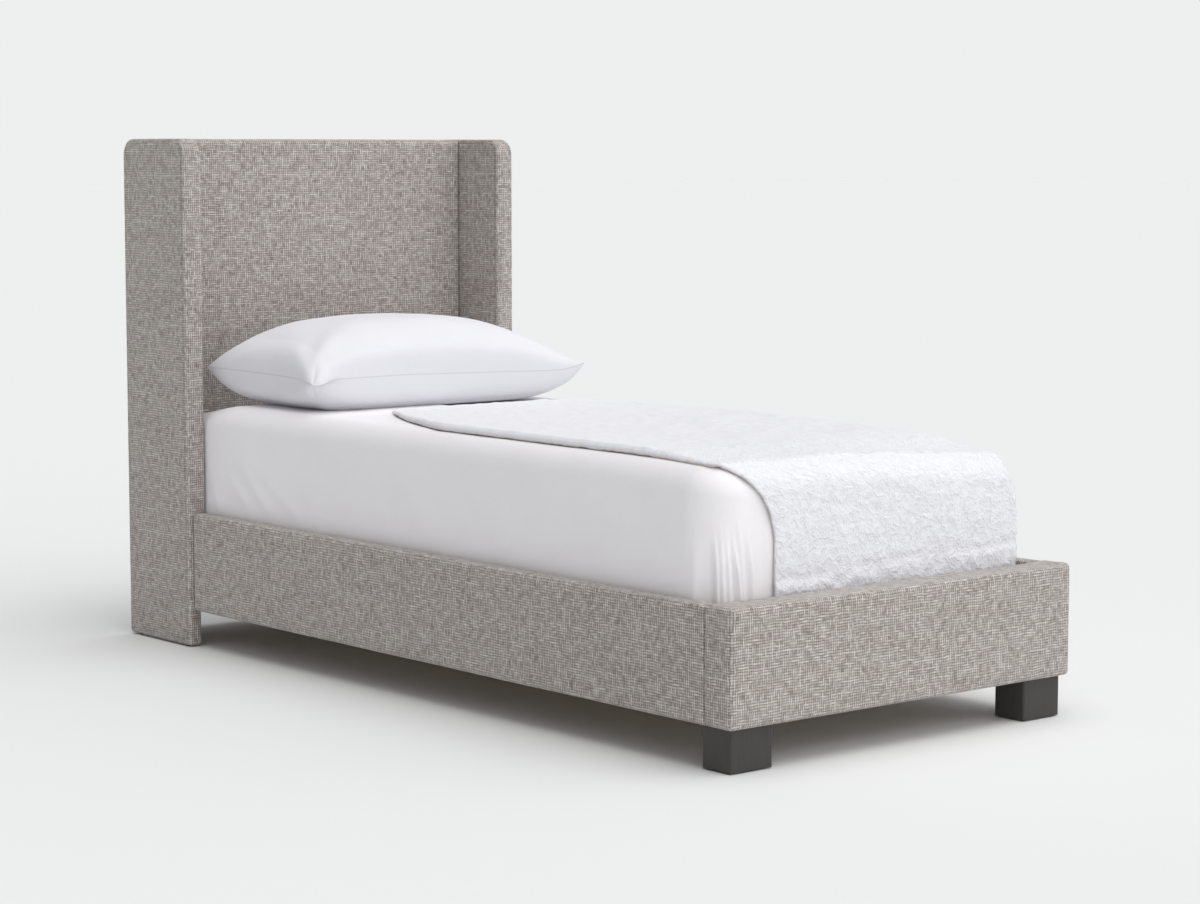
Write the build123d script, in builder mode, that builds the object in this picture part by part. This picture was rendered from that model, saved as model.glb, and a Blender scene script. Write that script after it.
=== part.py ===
from build123d import *
import os

# Upholstered wingback single bed with its bedding. The head stands towards +Y, the foot towards -Y.
# X runs across the bed and the origin is on the floor, below the middle of the plan.
# Left and right are as seen from the foot end, so the left side is at -X.
# All lengths are in millimetres.

os.makedirs("parts", exist_ok=True)

# Mattress, which the whole bed is built round
mattress_width = 894
mattress_length = 2000
mattress_height = 300
mattress_crown = 7
mattress_corner_radius = 82
mattress_edge_radius = 66
ticking_wall = 3

# Room left round the mattress
side_room = 6
head_room = 10
foot_room = 26

# Upholstered members
rail_thickness = 39
wing_thickness = 50
footboard_thickness = 80
headboard_depth = 124
wing_depth = 284
rail_height = 240
floor_clearance = 90
headboard_height = 1240
wing_step = 15
member_edge_radius = 10
wing_top_radius = 24
wing_edge_radius = 8

# Layers of the upholstery
cover_wall = 2
layer_gap = 0.3
rail_board_thickness = 22
wing_board_thickness = 30
footboard_padding = 8
footboard_panel_thickness = 12
footboard_batten_height = 40
end_block_width = 130

# Headboard frame
face_board_thickness = 12
back_board_thickness = 5
back_cloth_thickness = 1.5
frame_depth = 60
stile_width = 50
crossbar_height = 70
middle_crossbar_z = 640

# Feet and glides
foot_width = 112
foot_depth = 84
foot_side_inset = 15
foot_front_inset = 16
foot_edge_radius = 4.5
foot_pad_height = 3
foot_pad_inset = 12
foot_pad_corner = 6
glide_radius = 7
glide_height = 4
glide_end_inset = 34

# Slats and what carries them
slat_count = 14
slat_width = 70
slat_thickness = 18
slat_end_play = 2
slat_row_room = 10
slat_drop = 40
cleat_width = 22
cleat_height = 30
cleat_end_room = 4
strap_width = 25
strap_thickness = 1.5
strap_spread = 250
strap_overhang = 12

# Steel plates and fasteners
plate_thickness = 3
plate_height = 100
plate_reach = 80
plate_drop = 12
plate_bend_radius = 5
plate_corner_radius = 6
bolt_radius = 4
bolt_head_radius = 7
bolt_head_height = 4
bolt_bite = 16
bolt_rise = 25
bolt_spread = 45
hole_clearance = 0.2
foot_bolt_radius = 5
foot_bolt_down = 45
foot_bolt_up = 50
screw_radius = 2.5
screw_head_radius = 4.5
screw_head_height = 2.5
screw_bite = 12
cleat_screws_per_rail = 5
cleat_screw_end_room = 90
wing_screw_spread = 45
wing_bolt_low_z = 300
wing_bolt_middle_z = 570
wing_bolt_top_drop = 180

# Fitted sheet, with the folds that gather at its foot corners
sheet_wall = 1.5
sheet_gap = 0.3
sheet_skirt = 24
fold_low_width = 26
fold_low_bulge = 7
fold_high_width = 14
fold_high_bulge = 2.5
fold_low_lift = 24
fold_high_drop = 70
fold_root = 1
near_fold_angles = (190, 206, 222, 238, 252)
far_fold_angles = (334, 350)

# Quilt over the sheet, tucked down behind the footboard and short of the mattress at its other sides
quilt_thickness = 8
quilt_left_short = 45
quilt_right_short = 23
quilt_head_short = 594
quilt_left_corner_radius = 240
quilt_right_corner_radius = 60
quilt_hem_lift = 12
quilt_taper_short = 151
quilt_taper_depth = 150
quilt_taper_drop = 5
quilt_taper_bow_share = 0.18

# Pillow: a filling inside a pillowcase that is open at its right end
pillow_length = 832
pillow_width = 446
pillow_top_bulge = 113
pillow_bottom_bulge = 97
pillow_setback = 331
pillow_side_draw = 16
pillow_end_draw = 20
pillow_end_height_share = 0.09
pillow_width_draw_share = 0.05
pillow_section_shares = (-1, -0.9, -0.68, -0.36, 0, 0.36, 0.68, 0.9, 1)
pillow_swell_power = 2.6
pillow_swell_root = 0.7
case_wall = 1.2

overrun = 20
touch = 0.01

# Places worked out from the sizes above
inner_half = mattress_width / 2 + side_room
rail_outer = inner_half + rail_thickness
wing_outer = inner_half + wing_thickness
inner_length = mattress_length + head_room + foot_room
half_length = (footboard_thickness + inner_length + headboard_depth) / 2
foot_inner_y = -half_length + footboard_thickness
head_inner_y = half_length - headboard_depth
wing_front_y = half_length - wing_depth
rail_bottom = floor_clearance
rail_top = rail_bottom + rail_height
slat_top = rail_top - slat_drop
slat_bottom = slat_top - slat_thickness
cleat_bottom = slat_bottom - cleat_height
mattress_foot_y = foot_inner_y + foot_room
mattress_head_y = head_inner_y - head_room
mattress_bottom = slat_top + layer_gap
rail_layer = (rail_thickness - rail_board_thickness) / 2
wing_layer = (wing_thickness - wing_board_thickness) / 2
footboard_layer = cover_wall + footboard_padding + 2 * layer_gap
padding_inset = cover_wall + layer_gap
plate_x = -inner_half
plate_top = cleat_bottom - plate_drop
plate_z = plate_top - plate_height
bolt_heights = (plate_z + bolt_rise, plate_top - bolt_rise)
bolt_hole_radius = bolt_radius + hole_clearance
screw_hole_radius = screw_radius + hole_clearance

pieces = {}


def finish(name, piece):
    """Labels a finished piece and keeps it for the export."""
    piece.part.label = name
    pieces[name] = piece


def plain_box(low, high):
    """A sharp box between its low and its high corner."""
    with BuildPart() as box:
        with Locations(tuple((a + b) / 2 for a, b in zip(low, high))):
            Box(*[b - a for a, b in zip(low, high)])
    return box.part


def on_side(edge, low, high, side):
    """Whether an edge lies in one side of the box, where the side is named as in -Y or +Z."""
    axis = "XYZ".index(side[1])
    bounds = edge.bounding_box()
    least = (bounds.min.X, bounds.min.Y, bounds.min.Z)[axis]
    most = (bounds.max.X, bounds.max.Y, bounds.max.Z)[axis]
    if side[0] == "-":
        return most < low[axis] + touch
    return least > high[axis] - touch


def rounded_box(low, high, radius, square_side):
    """A box with its edges rounded, but for those of one side."""
    with BuildPart() as box:
        add(plain_box(low, high))
        soft = [edge for edge in box.edges() if not on_side(edge, low, high, square_side)]
        fillet(soft, radius)
    return box.part


def inset_corners(low, high, amount, open_side, run_out=0):
    """Both corners of a box drawn in by an amount, which runs out past the open side instead."""
    low = [value + amount for value in low]
    high = [value - amount for value in high]
    axis = "XYZ".index(open_side[1])
    if open_side[0] == "-":
        low[axis] -= amount + run_out
    else:
        high[axis] += amount + run_out
    return low, high


def sock(low, high, radius, wall, open_side, plain_inside=False):
    """A soft cover round a box, open on one side, with its inner edges rounded or plain."""
    inner_low, inner_high = inset_corners(low, high, wall, open_side, overrun)
    if plain_inside:
        inner = plain_box(inner_low, inner_high)
    else:
        inner = rounded_box(inner_low, inner_high, radius - wall, open_side)
    with BuildPart() as shell:
        add(rounded_box(low, high, radius, open_side))
        add(inner, mode=Mode.SUBTRACT)
    return shell.part


def drill(places, direction, radius, depth):
    """Bores a straight hole at each place of the piece being made."""
    for place in places:
        with BuildSketch(Plane(origin=place, z_dir=direction)) as mouth:
            Circle(radius)
        extrude(mouth.sketch, amount=depth, mode=Mode.SUBTRACT)


def rods(places, direction, radius, length):
    """Adds a straight rod at each place to the piece being made."""
    for place in places:
        with BuildSketch(Plane(origin=place, z_dir=direction)) as end:
            Circle(radius)
        extrude(end.sketch, amount=length)


def bolts(places, direction, radius, length, head_radius, head_height):
    """Adds bolts whose heads stand on the places and whose shanks run along the direction."""
    rods(places, direction, radius, length)
    rods(places, [-value for value in direction], head_radius, head_height)


def both_sides(places):
    """The places of the left side and their mirror images."""
    return places + [(-x, y, z) for x, y, z in places]


def mirrored(piece):
    """The same piece on the other side of the bed."""
    with BuildPart() as other:
        mirror(piece.part, about=Plane.YZ)
    return other


def finish_pair(name, left_piece):
    """Keeps a left piece and its mirrored right one."""
    finish(name + "_left", left_piece)
    finish(name + "_right", mirrored(left_piece))


def finish_set(name, left_piece):
    """Keeps the small pieces of both sides as one set."""
    with BuildPart() as pair:
        add(left_piece.part)
        mirror(left_piece.part, about=Plane.YZ)
    finish(name, pair)


# Fastener places, on the left side of the bed

rail_plate_places = [(plate_x + plate_thickness, wing_front_y - bolt_spread, z) for z in bolt_heights]
wing_plate_places = [(plate_x + plate_thickness, wing_front_y + bolt_spread, z) for z in bolt_heights]
rail_bracket_places = [(plate_x + plate_thickness, foot_inner_y + bolt_spread, z) for z in bolt_heights]
footboard_bracket_places = [
    (plate_x + bolt_spread, foot_inner_y + plate_thickness, z) for z in bolt_heights
]
plate_bolt_length = plate_thickness + wing_layer + bolt_bite
bracket_bolt_length = plate_thickness + footboard_layer + bolt_bite

cleat_inner_x = -inner_half + cleat_width
cleat_z = cleat_bottom + cleat_height / 2
cleat_foot_y = foot_inner_y + plate_thickness + cleat_end_room
cleat_head_y = wing_front_y - cleat_end_room
cleat_screw_first = cleat_foot_y + cleat_screw_end_room
cleat_screw_pitch = (cleat_head_y - cleat_foot_y - 2 * cleat_screw_end_room) / (cleat_screws_per_rail - 1)
cleat_screw_places = [
    (cleat_inner_x, cleat_screw_first + turn * cleat_screw_pitch, cleat_z)
    for turn in range(cleat_screws_per_rail)
]
wing_cleat_foot_y = wing_front_y + cleat_end_room
wing_cleat_head_y = head_inner_y - cleat_end_room
wing_cleat_y = (wing_cleat_foot_y + wing_cleat_head_y) / 2
wing_screw_places = [
    (cleat_inner_x, wing_cleat_y + side * wing_screw_spread, cleat_z) for side in (-1, 1)
]
cleat_screw_length = cleat_width + rail_layer + screw_bite

# Side rails: a board, its padding and its cover, which is closed against the wing

rail_low = (-rail_outer, foot_inner_y, rail_bottom)
rail_high = (-inner_half, wing_front_y, rail_top)
rail_cover_shell = sock(rail_low, rail_high, member_edge_radius, cover_wall, "-Y")
pad_low, pad_high = inset_corners(rail_low, rail_high, padding_inset, "-Y")
pad_wall = rail_layer - padding_inset - layer_gap
rail_pad_shell = sock(pad_low, pad_high, member_edge_radius - padding_inset, pad_wall, "-Y", True)
board_low, board_high = inset_corners(rail_low, rail_high, rail_layer, "-Y")


def drill_rail():
    """The holes that a left rail's layers share."""
    side_places = rail_plate_places + rail_bracket_places
    drill(side_places, (-1, 0, 0), bolt_hole_radius, plate_bolt_length + hole_clearance)
    drill(cleat_screw_places, (-1, 0, 0), screw_hole_radius, cleat_screw_length + hole_clearance)


with BuildPart() as rail_cover:
    add(rail_cover_shell)
    drill_rail()
finish_pair("rail_cover", rail_cover)

with BuildPart() as rail_padding:
    add(rail_pad_shell)
    drill_rail()
finish_pair("rail_padding", rail_padding)

with BuildPart() as rail_board:
    add(plain_box(board_low, board_high))
    drill_rail()
finish_pair("rail_board", rail_board)

# Wings, which stand on the floor and step back below the rails


def wing_block(inset, bottom):
    """A left wing drawn in by an amount on every side but its bottom."""
    corner = wing_top_radius - inset
    edge = max(wing_edge_radius - inset, 0)
    depth = wing_depth - 2 * inset
    height = headboard_height - inset - bottom
    with BuildPart() as wing:
        with BuildSketch(Plane.YZ.offset(-wing_outer + inset)) as side:
            with Locations((wing_front_y + wing_depth / 2, bottom + height / 2)):
                Rectangle(depth, height)
            fillet(side.vertices().group_by(Axis.Y)[-1], corner)
        extrude(amount=wing_thickness - 2 * inset)
        if edge > 0:
            faces = wing.faces().sort_by(Axis.X)
            rims = faces[0].edges() + faces[-1].edges()
            fillet([rim for rim in rims if rim.center().Z > bottom + touch], edge)
        step_low = (-inner_half - wing_step - inset, wing_front_y - overrun, bottom - overrun)
        step_high = (-inner_half + overrun, half_length + overrun, rail_bottom + inset)
        add(plain_box(step_low, step_high), mode=Mode.SUBTRACT)
    return wing.part


stile_outer = inner_half - cover_wall - layer_gap
stile_inner = stile_outer - stile_width
frame_back_y = half_length - back_cloth_thickness - back_board_thickness - layer_gap
frame_front_y = frame_back_y - frame_depth
face_front_y = frame_front_y - face_board_thickness
frame_y = (frame_front_y + frame_back_y) / 2
wing_bolt_heights = (wing_bolt_low_z, wing_bolt_middle_z, headboard_height - wing_bolt_top_drop)
wing_bolt_places = [(-stile_inner, frame_y, z) for z in wing_bolt_heights]
wing_bolt_length = inner_half - stile_inner + wing_layer + bolt_bite
wing_hollow = wing_block(cover_wall, glide_height - overrun)
wing_pad_hollow = wing_block(wing_layer - layer_gap, glide_height - overrun)


def drill_wing():
    """The holes that a left wing's layers share."""
    drill(wing_plate_places, (-1, 0, 0), bolt_hole_radius, plate_bolt_length + hole_clearance)
    drill(wing_bolt_places, (-1, 0, 0), bolt_hole_radius, wing_bolt_length + hole_clearance)
    drill(wing_screw_places, (-1, 0, 0), screw_hole_radius, cleat_screw_length + hole_clearance)


with BuildPart() as wing_cover:
    add(wing_block(0, glide_height))
    add(wing_hollow, mode=Mode.SUBTRACT)
    drill_wing()
finish_pair("wing_cover", wing_cover)

with BuildPart() as wing_padding:
    add(wing_block(padding_inset, glide_height))
    add(wing_pad_hollow, mode=Mode.SUBTRACT)
    drill_wing()
finish_pair("wing_padding", wing_padding)

with BuildPart() as wing_board:
    add(wing_block(wing_layer, glide_height))
    drill_wing()
finish_pair("wing_board", wing_board)

wing_leg_x = -(wing_outer + inner_half + wing_step) / 2
glide_places = [(wing_leg_x, y, 0) for y in (wing_front_y + glide_end_inset, half_length - glide_end_inset)]
with BuildPart() as wing_glides:
    rods(both_sides(glide_places), (0, 0, 1), glide_radius, glide_height)
finish("wing_glides", wing_glides)

# Headboard panel between the wings

panel_low = (-inner_half, head_inner_y, rail_bottom)
panel_high = (inner_half, half_length, headboard_height)
hollow_low, hollow_high = inset_corners(panel_low, panel_high, cover_wall, "+Y", overrun)
with BuildPart() as panel_hollow:
    add(plain_box(hollow_low, hollow_high))
    fillet(panel_hollow.faces().sort_by(Axis.Y)[0].edges(), member_edge_radius - cover_wall)

with BuildPart() as headboard_cover:
    add(plain_box(panel_low, panel_high))
    fillet(headboard_cover.faces().sort_by(Axis.Y)[0].edges(), member_edge_radius)
    add(panel_hollow.part, mode=Mode.SUBTRACT)
    drill(wing_bolt_places, (-1, 0, 0), bolt_hole_radius, wing_bolt_length)
    drill([(-x, y, z) for x, y, z in wing_bolt_places], (1, 0, 0), bolt_hole_radius, wing_bolt_length)
finish("headboard_cover", headboard_cover)

inside_low = rail_bottom + padding_inset
inside_high = headboard_height - padding_inset
foam_low = (-stile_outer, head_inner_y + padding_inset, inside_low)
foam_high = (stile_outer, face_front_y - layer_gap, inside_high)
with BuildPart() as headboard_foam:
    add(plain_box(foam_low, foam_high))
    fillet(headboard_foam.faces().sort_by(Axis.Y)[0].edges(), member_edge_radius - padding_inset)
finish("headboard_foam", headboard_foam)

with BuildPart() as headboard_face_board:
    add(plain_box((-stile_outer, face_front_y, inside_low), (stile_outer, frame_front_y, inside_high)))
finish("headboard_face_board", headboard_face_board)

with BuildPart() as headboard_stile:
    add(plain_box((-stile_outer, frame_front_y, inside_low), (-stile_inner, frame_back_y, inside_high)))
    drill(wing_bolt_places, (-1, 0, 0), bolt_hole_radius, wing_bolt_length)
finish_pair("headboard_stile", headboard_stile)

crossbar_places = {
    "bottom": inside_low,
    "middle": middle_crossbar_z,
    "top": inside_high - crossbar_height,
}
for place, bar_z in crossbar_places.items():
    with BuildPart() as crossbar:
        bar_low = (-stile_inner, frame_front_y, bar_z)
        bar_high = (stile_inner, frame_back_y, bar_z + crossbar_height)
        add(plain_box(bar_low, bar_high))
    finish("headboard_crossbar_" + place, crossbar)

back_board_y = frame_back_y + back_board_thickness
with BuildPart() as headboard_back_board:
    add(plain_box((-stile_outer, frame_back_y, inside_low), (stile_outer, back_board_y, inside_high)))
finish("headboard_back_board", headboard_back_board)

with BuildPart() as headboard_back_cloth:
    cloth_low = (-stile_outer, back_board_y, inside_low)
    cloth_high = (stile_outer, back_board_y + back_cloth_thickness, inside_high)
    add(plain_box(cloth_low, cloth_high))
finish("headboard_back_cloth", headboard_back_cloth)

with BuildPart() as wing_bolts:
    bolts(wing_bolt_places, (-1, 0, 0), bolt_radius, wing_bolt_length, bolt_head_radius, bolt_head_height)
finish_set("wing_bolts", wing_bolts)

# Footboard: a box of two panels, battens and end blocks, padded and covered

board_half = rail_outer - footboard_layer
board_top = rail_top - footboard_layer
front_panel_y = -half_length + footboard_layer
back_panel_y = foot_inner_y - footboard_layer - footboard_panel_thickness
core_front_y = front_panel_y + footboard_panel_thickness
core_y = (core_front_y + back_panel_y) / 2
foot_x = -rail_outer + foot_side_inset + foot_width / 2
foot_bolt_place = (foot_x, core_y, rail_bottom - foot_bolt_down)
foot_bolt_hole = foot_bolt_radius + hole_clearance
footboard_low = (-rail_outer, -half_length, rail_bottom)
footboard_high = (rail_outer, foot_inner_y, rail_top)


def drill_footboard():
    """The bracket holes through the footboard's back layers."""
    bracket_places = both_sides(footboard_bracket_places)
    drill(bracket_places, (0, -1, 0), bolt_hole_radius, bracket_bolt_length + hole_clearance)


with BuildPart() as footboard_cover:
    add(sock(footboard_low, footboard_high, member_edge_radius, cover_wall, "-Z"))
    drill_footboard()
finish("footboard_cover", footboard_cover)

foot_pad_low, foot_pad_high = inset_corners(footboard_low, footboard_high, padding_inset, "-Z")
with BuildPart() as footboard_padding_piece:
    add(sock(
        foot_pad_low, foot_pad_high, member_edge_radius - padding_inset, footboard_padding, "-Z", True
    ))
    drill_footboard()
finish("footboard_padding", footboard_padding_piece)

with BuildPart() as footboard_front_panel:
    add(plain_box((-board_half, front_panel_y, rail_bottom), (board_half, core_front_y, board_top)))
finish("footboard_front_panel", footboard_front_panel)

with BuildPart() as footboard_back_panel:
    back_low = (-board_half, back_panel_y, rail_bottom)
    back_high = (board_half, back_panel_y + footboard_panel_thickness, board_top)
    add(plain_box(back_low, back_high))
    drill_footboard()
finish("footboard_back_panel", footboard_back_panel)

with BuildPart() as footboard_end_block:
    block_low = (-board_half, core_front_y, rail_bottom)
    block_high = (-board_half + end_block_width, back_panel_y, board_top - footboard_batten_height)
    add(plain_box(block_low, block_high))
    drill_footboard()
    drill([foot_bolt_place], (0, 0, 1), foot_bolt_hole, foot_bolt_down + foot_bolt_up + hole_clearance)
finish_pair("footboard_end_block", footboard_end_block)

with BuildPart() as footboard_top_batten:
    top_low = (-board_half, core_front_y, board_top - footboard_batten_height)
    add(plain_box(top_low, (board_half, back_panel_y, board_top)))
finish("footboard_top_batten", footboard_top_batten)

with BuildPart() as footboard_bottom_batten:
    batten_half = board_half - end_block_width
    batten_top = rail_bottom + footboard_batten_height
    add(plain_box((-batten_half, core_front_y, rail_bottom), (batten_half, back_panel_y, batten_top)))
finish("footboard_bottom_batten", footboard_bottom_batten)

# Front feet: dark blocks on felt pads, each held by one long bolt

foot_low = (foot_x - foot_width / 2, -half_length + foot_front_inset, foot_pad_height)
foot_high = (foot_x + foot_width / 2, -half_length + foot_front_inset + foot_depth, rail_bottom)
with BuildPart() as foot:
    add(plain_box(foot_low, foot_high))
    fillet(foot.edges().filter_by(Axis.Z), foot_edge_radius)
    drill([foot_bolt_place], (0, 0, 1), foot_bolt_hole, foot_bolt_down + overrun)
finish_pair("foot", foot)

with BuildPart() as foot_pad:
    with BuildSketch():
        with Locations(((foot_low[0] + foot_high[0]) / 2, (foot_low[1] + foot_high[1]) / 2)):
            pad_size = (foot_width - 2 * foot_pad_inset, foot_depth - 2 * foot_pad_inset)
            RectangleRounded(*pad_size, foot_pad_corner)
    extrude(amount=foot_pad_height)
finish_set("foot_pads", foot_pad)

with BuildPart() as foot_bolt:
    rods([foot_bolt_place], (0, 0, 1), foot_bolt_radius, foot_bolt_down + foot_bolt_up)
finish_set("foot_bolts", foot_bolt)

# Cleats along the rails and on the wings, and their screws

first_slat_y = foot_inner_y + slat_row_room + slat_width / 2
last_slat_y = head_inner_y - slat_row_room - slat_width / 2
slat_pitch = (last_slat_y - first_slat_y) / (slat_count - 1)
slat_screw_x = -inner_half + cleat_width / 2
slat_screw_length = slat_thickness + screw_bite
foot_slat_screw = (slat_screw_x, first_slat_y, slat_top - screw_head_height)
head_slat_screw = (slat_screw_x, last_slat_y, slat_top - screw_head_height)

with BuildPart() as rail_cleat:
    add(plain_box((-inner_half, cleat_foot_y, cleat_bottom), (cleat_inner_x, cleat_head_y, slat_bottom)))
    drill(cleat_screw_places, (-1, 0, 0), screw_hole_radius, cleat_screw_length)
    drill([foot_slat_screw], (0, 0, -1), screw_hole_radius, slat_screw_length)
finish_pair("rail_cleat", rail_cleat)

with BuildPart() as wing_cleat:
    wing_cleat_low = (-inner_half, wing_cleat_foot_y, cleat_bottom)
    wing_cleat_high = (cleat_inner_x, wing_cleat_head_y, slat_bottom)
    add(plain_box(wing_cleat_low, wing_cleat_high))
    drill(wing_screw_places, (-1, 0, 0), screw_hole_radius, cleat_screw_length)
    drill([head_slat_screw], (0, 0, -1), screw_hole_radius, slat_screw_length)
finish_pair("wing_cleat", wing_cleat)

with BuildPart() as cleat_screws:
    side_places = cleat_screw_places + wing_screw_places
    bolts(side_places, (-1, 0, 0), screw_radius, cleat_screw_length, screw_head_radius, screw_head_height)
finish_set("cleat_screws", cleat_screws)

# Slats in a row from foot to head, tied by two straps below them

slat_half = inner_half - slat_end_play
slat_screw_places = both_sides([foot_slat_screw, head_slat_screw])
with BuildPart() as slats:
    for turn in range(slat_count):
        slat_y = first_slat_y + turn * slat_pitch
        slat_low = (-slat_half, slat_y - slat_width / 2, slat_bottom)
        add(plain_box(slat_low, (slat_half, slat_y + slat_width / 2, slat_top)))
    drill(slat_screw_places, (0, 0, -1), screw_hole_radius, slat_screw_length)
    drill(slat_screw_places, (0, 0, 1), screw_head_radius + hole_clearance, screw_head_height)
finish("slats", slats)

with BuildPart() as slat_screws:
    rods(slat_screw_places, (0, 0, -1), screw_radius, slat_screw_length)
    rods(slat_screw_places, (0, 0, 1), screw_head_radius, screw_head_height)
finish("slat_screws", slat_screws)

strap_start_y = first_slat_y - slat_width / 2 + strap_overhang
strap_end_y = last_slat_y + slat_width / 2 - strap_overhang
with BuildPart() as slat_strap:
    strap_low = (-strap_spread - strap_width / 2, strap_start_y, slat_bottom - strap_thickness)
    add(plain_box(strap_low, (-strap_spread + strap_width / 2, strap_end_y, slat_bottom)))
finish_pair("slat_strap", slat_strap)

# Steel plates and brackets inside the rails

with BuildPart() as head_plate:
    head_plate_low = (plate_x, wing_front_y - plate_reach, plate_z)
    head_plate_high = (plate_x + plate_thickness, wing_front_y + plate_reach, plate_top)
    add(plain_box(head_plate_low, head_plate_high))
    fillet(head_plate.edges().filter_by(Axis.X), plate_corner_radius)
    drill(rail_plate_places + wing_plate_places, (-1, 0, 0), bolt_hole_radius, plate_thickness)
finish_pair("head_plate", head_plate)

with BuildPart() as foot_bracket:
    with BuildSketch(Plane.XY.offset(plate_z)) as angle:
        with Locations((plate_x, foot_inner_y)):
            Rectangle(plate_reach, plate_thickness, align=(Align.MIN, Align.MIN))
            Rectangle(plate_thickness, plate_reach, align=(Align.MIN, Align.MIN))
        bend = (plate_x + plate_thickness, foot_inner_y + plate_thickness)
        fillet(angle.vertices().sort_by_distance(bend)[0], plate_bend_radius)
    extrude(amount=plate_height)
    drill(rail_bracket_places, (-1, 0, 0), bolt_hole_radius, plate_thickness)
    drill(footboard_bracket_places, (0, -1, 0), bolt_hole_radius, plate_thickness)
finish_pair("foot_bracket", foot_bracket)

with BuildPart() as plate_bolts:
    inward_places = rail_plate_places + wing_plate_places + rail_bracket_places
    bolts(inward_places, (-1, 0, 0), bolt_radius, plate_bolt_length, bolt_head_radius, bolt_head_height)
    bolts(
        footboard_bracket_places, (0, -1, 0), bolt_radius, bracket_bolt_length,
        bolt_head_radius, bolt_head_height,
    )
finish_set("plate_bolts", plate_bolts)

# Mattress, and everything drawn over it, as the same crowned form grown by an amount

mattress_y = (mattress_foot_y + mattress_head_y) / 2


def mattress_form(grown, bottom):
    """The crowned mattress form grown outwards and upwards by an amount."""
    half = mattress_width / 2 + grown
    top = mattress_bottom + mattress_height + grown
    with BuildPart() as form:
        with BuildSketch(Plane.XZ.offset(-mattress_head_y - grown)):
            with BuildLine():
                shoulder = top - mattress_crown
                Polyline((-half, shoulder), (-half, bottom), (half, bottom), (half, shoulder))
                ThreePointArc((half, shoulder), (0, top), (-half, shoulder))
            make_face()
        extrude(amount=mattress_length + 2 * grown)
        fillet(form.edges().filter_by(Axis.Z), mattress_corner_radius + grown)
        top_edges = form.faces().sort_by(Axis.Z)[-1].edges()
        fillet(top_edges, mattress_edge_radius + grown)
    return form.part


with BuildPart() as mattress_core:
    add(mattress_form(-ticking_wall - layer_gap, mattress_bottom + ticking_wall))
finish("mattress_core", mattress_core)

ticking_hollow = mattress_form(-ticking_wall, mattress_bottom + ticking_wall - layer_gap)
with BuildPart() as mattress_ticking:
    add(mattress_form(0, mattress_bottom))
    add(ticking_hollow, mode=Mode.SUBTRACT)
finish("mattress_ticking", mattress_ticking)

# Fitted sheet, a skirt over the top and sides, with folds at the foot corners

sheet_bottom = mattress_bottom + sheet_skirt
fold_low_z = sheet_bottom + fold_low_lift
fold_high_z = mattress_bottom + mattress_height - fold_high_drop
corner_x = mattress_width / 2 - mattress_corner_radius
corner_y = mattress_foot_y + mattress_corner_radius
sheet_outer_radius = mattress_corner_radius + sheet_gap + sheet_wall


def fold_section(angle, side, width, bulge, z):
    """The face of one fold: a chord just inside the sheet and an arc that stands out from it."""
    centre = Plane.XY.offset(z) * Location((side * corner_x, corner_y, 0), (0, 0, angle))
    root = sheet_outer_radius - fold_root
    with BuildSketch(Plane(centre)) as section:
        with BuildLine():
            Line((root, -width / 2), (root, width / 2))
            ThreePointArc((root, width / 2), (root + fold_root + bulge, 0), (root, -width / 2))
        make_face()
    return section.sketch


sheet_hollow = mattress_form(sheet_gap, sheet_bottom - overrun)
folds = [(angle, -1) for angle in near_fold_angles] + [(angle, 1) for angle in far_fold_angles]
with BuildPart() as fitted_sheet:
    add(mattress_form(sheet_gap + sheet_wall, sheet_bottom))
    for angle, side in folds:
        low_face = fold_section(angle, side, fold_low_width, fold_low_bulge, fold_low_z)
        high_face = fold_section(angle, side, fold_high_width, fold_high_bulge, fold_high_z)
        loft([low_face, high_face], ruled=True)
    add(sheet_hollow, mode=Mode.SUBTRACT)
finish("fitted_sheet", fitted_sheet)

# Quilt, cut from the same form by its plan and narrowed where it goes down behind the footboard

quilt_inset = 2 * sheet_gap + sheet_wall
quilt_foot_y = mattress_foot_y - quilt_inset - quilt_thickness
quilt_head_y = mattress_head_y - quilt_head_short
quilt_left_x = -mattress_width / 2 + quilt_left_short
quilt_right_x = mattress_width / 2 - quilt_right_short
quilt_taper_x = -mattress_width / 2 + quilt_taper_short
quilt_bottom_z = slat_top + quilt_hem_lift
quilt_taper_top_z = slat_top + mattress_height - quilt_taper_drop
with BuildPart() as quilt_plan:
    with BuildSketch(Plane.XY.offset(quilt_bottom_z)) as plan:
        with BuildLine():
            Polyline(
                (quilt_left_x, quilt_foot_y - overrun), (quilt_left_x, quilt_head_y),
                (quilt_right_x, quilt_head_y), (quilt_right_x, quilt_foot_y - overrun), close=True,
            )
        make_face()
        head_corners = plan.vertices().group_by(Axis.Y)[-1].sort_by(Axis.X)
        fillet(head_corners[0], quilt_left_corner_radius)
        far_corner = plan.vertices().group_by(Axis.Y)[-1].sort_by(Axis.X)[-1]
        fillet(far_corner, quilt_right_corner_radius)
    extrude(amount=mattress_height + mattress_bottom + overrun - quilt_bottom_z + quilt_thickness)

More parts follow.
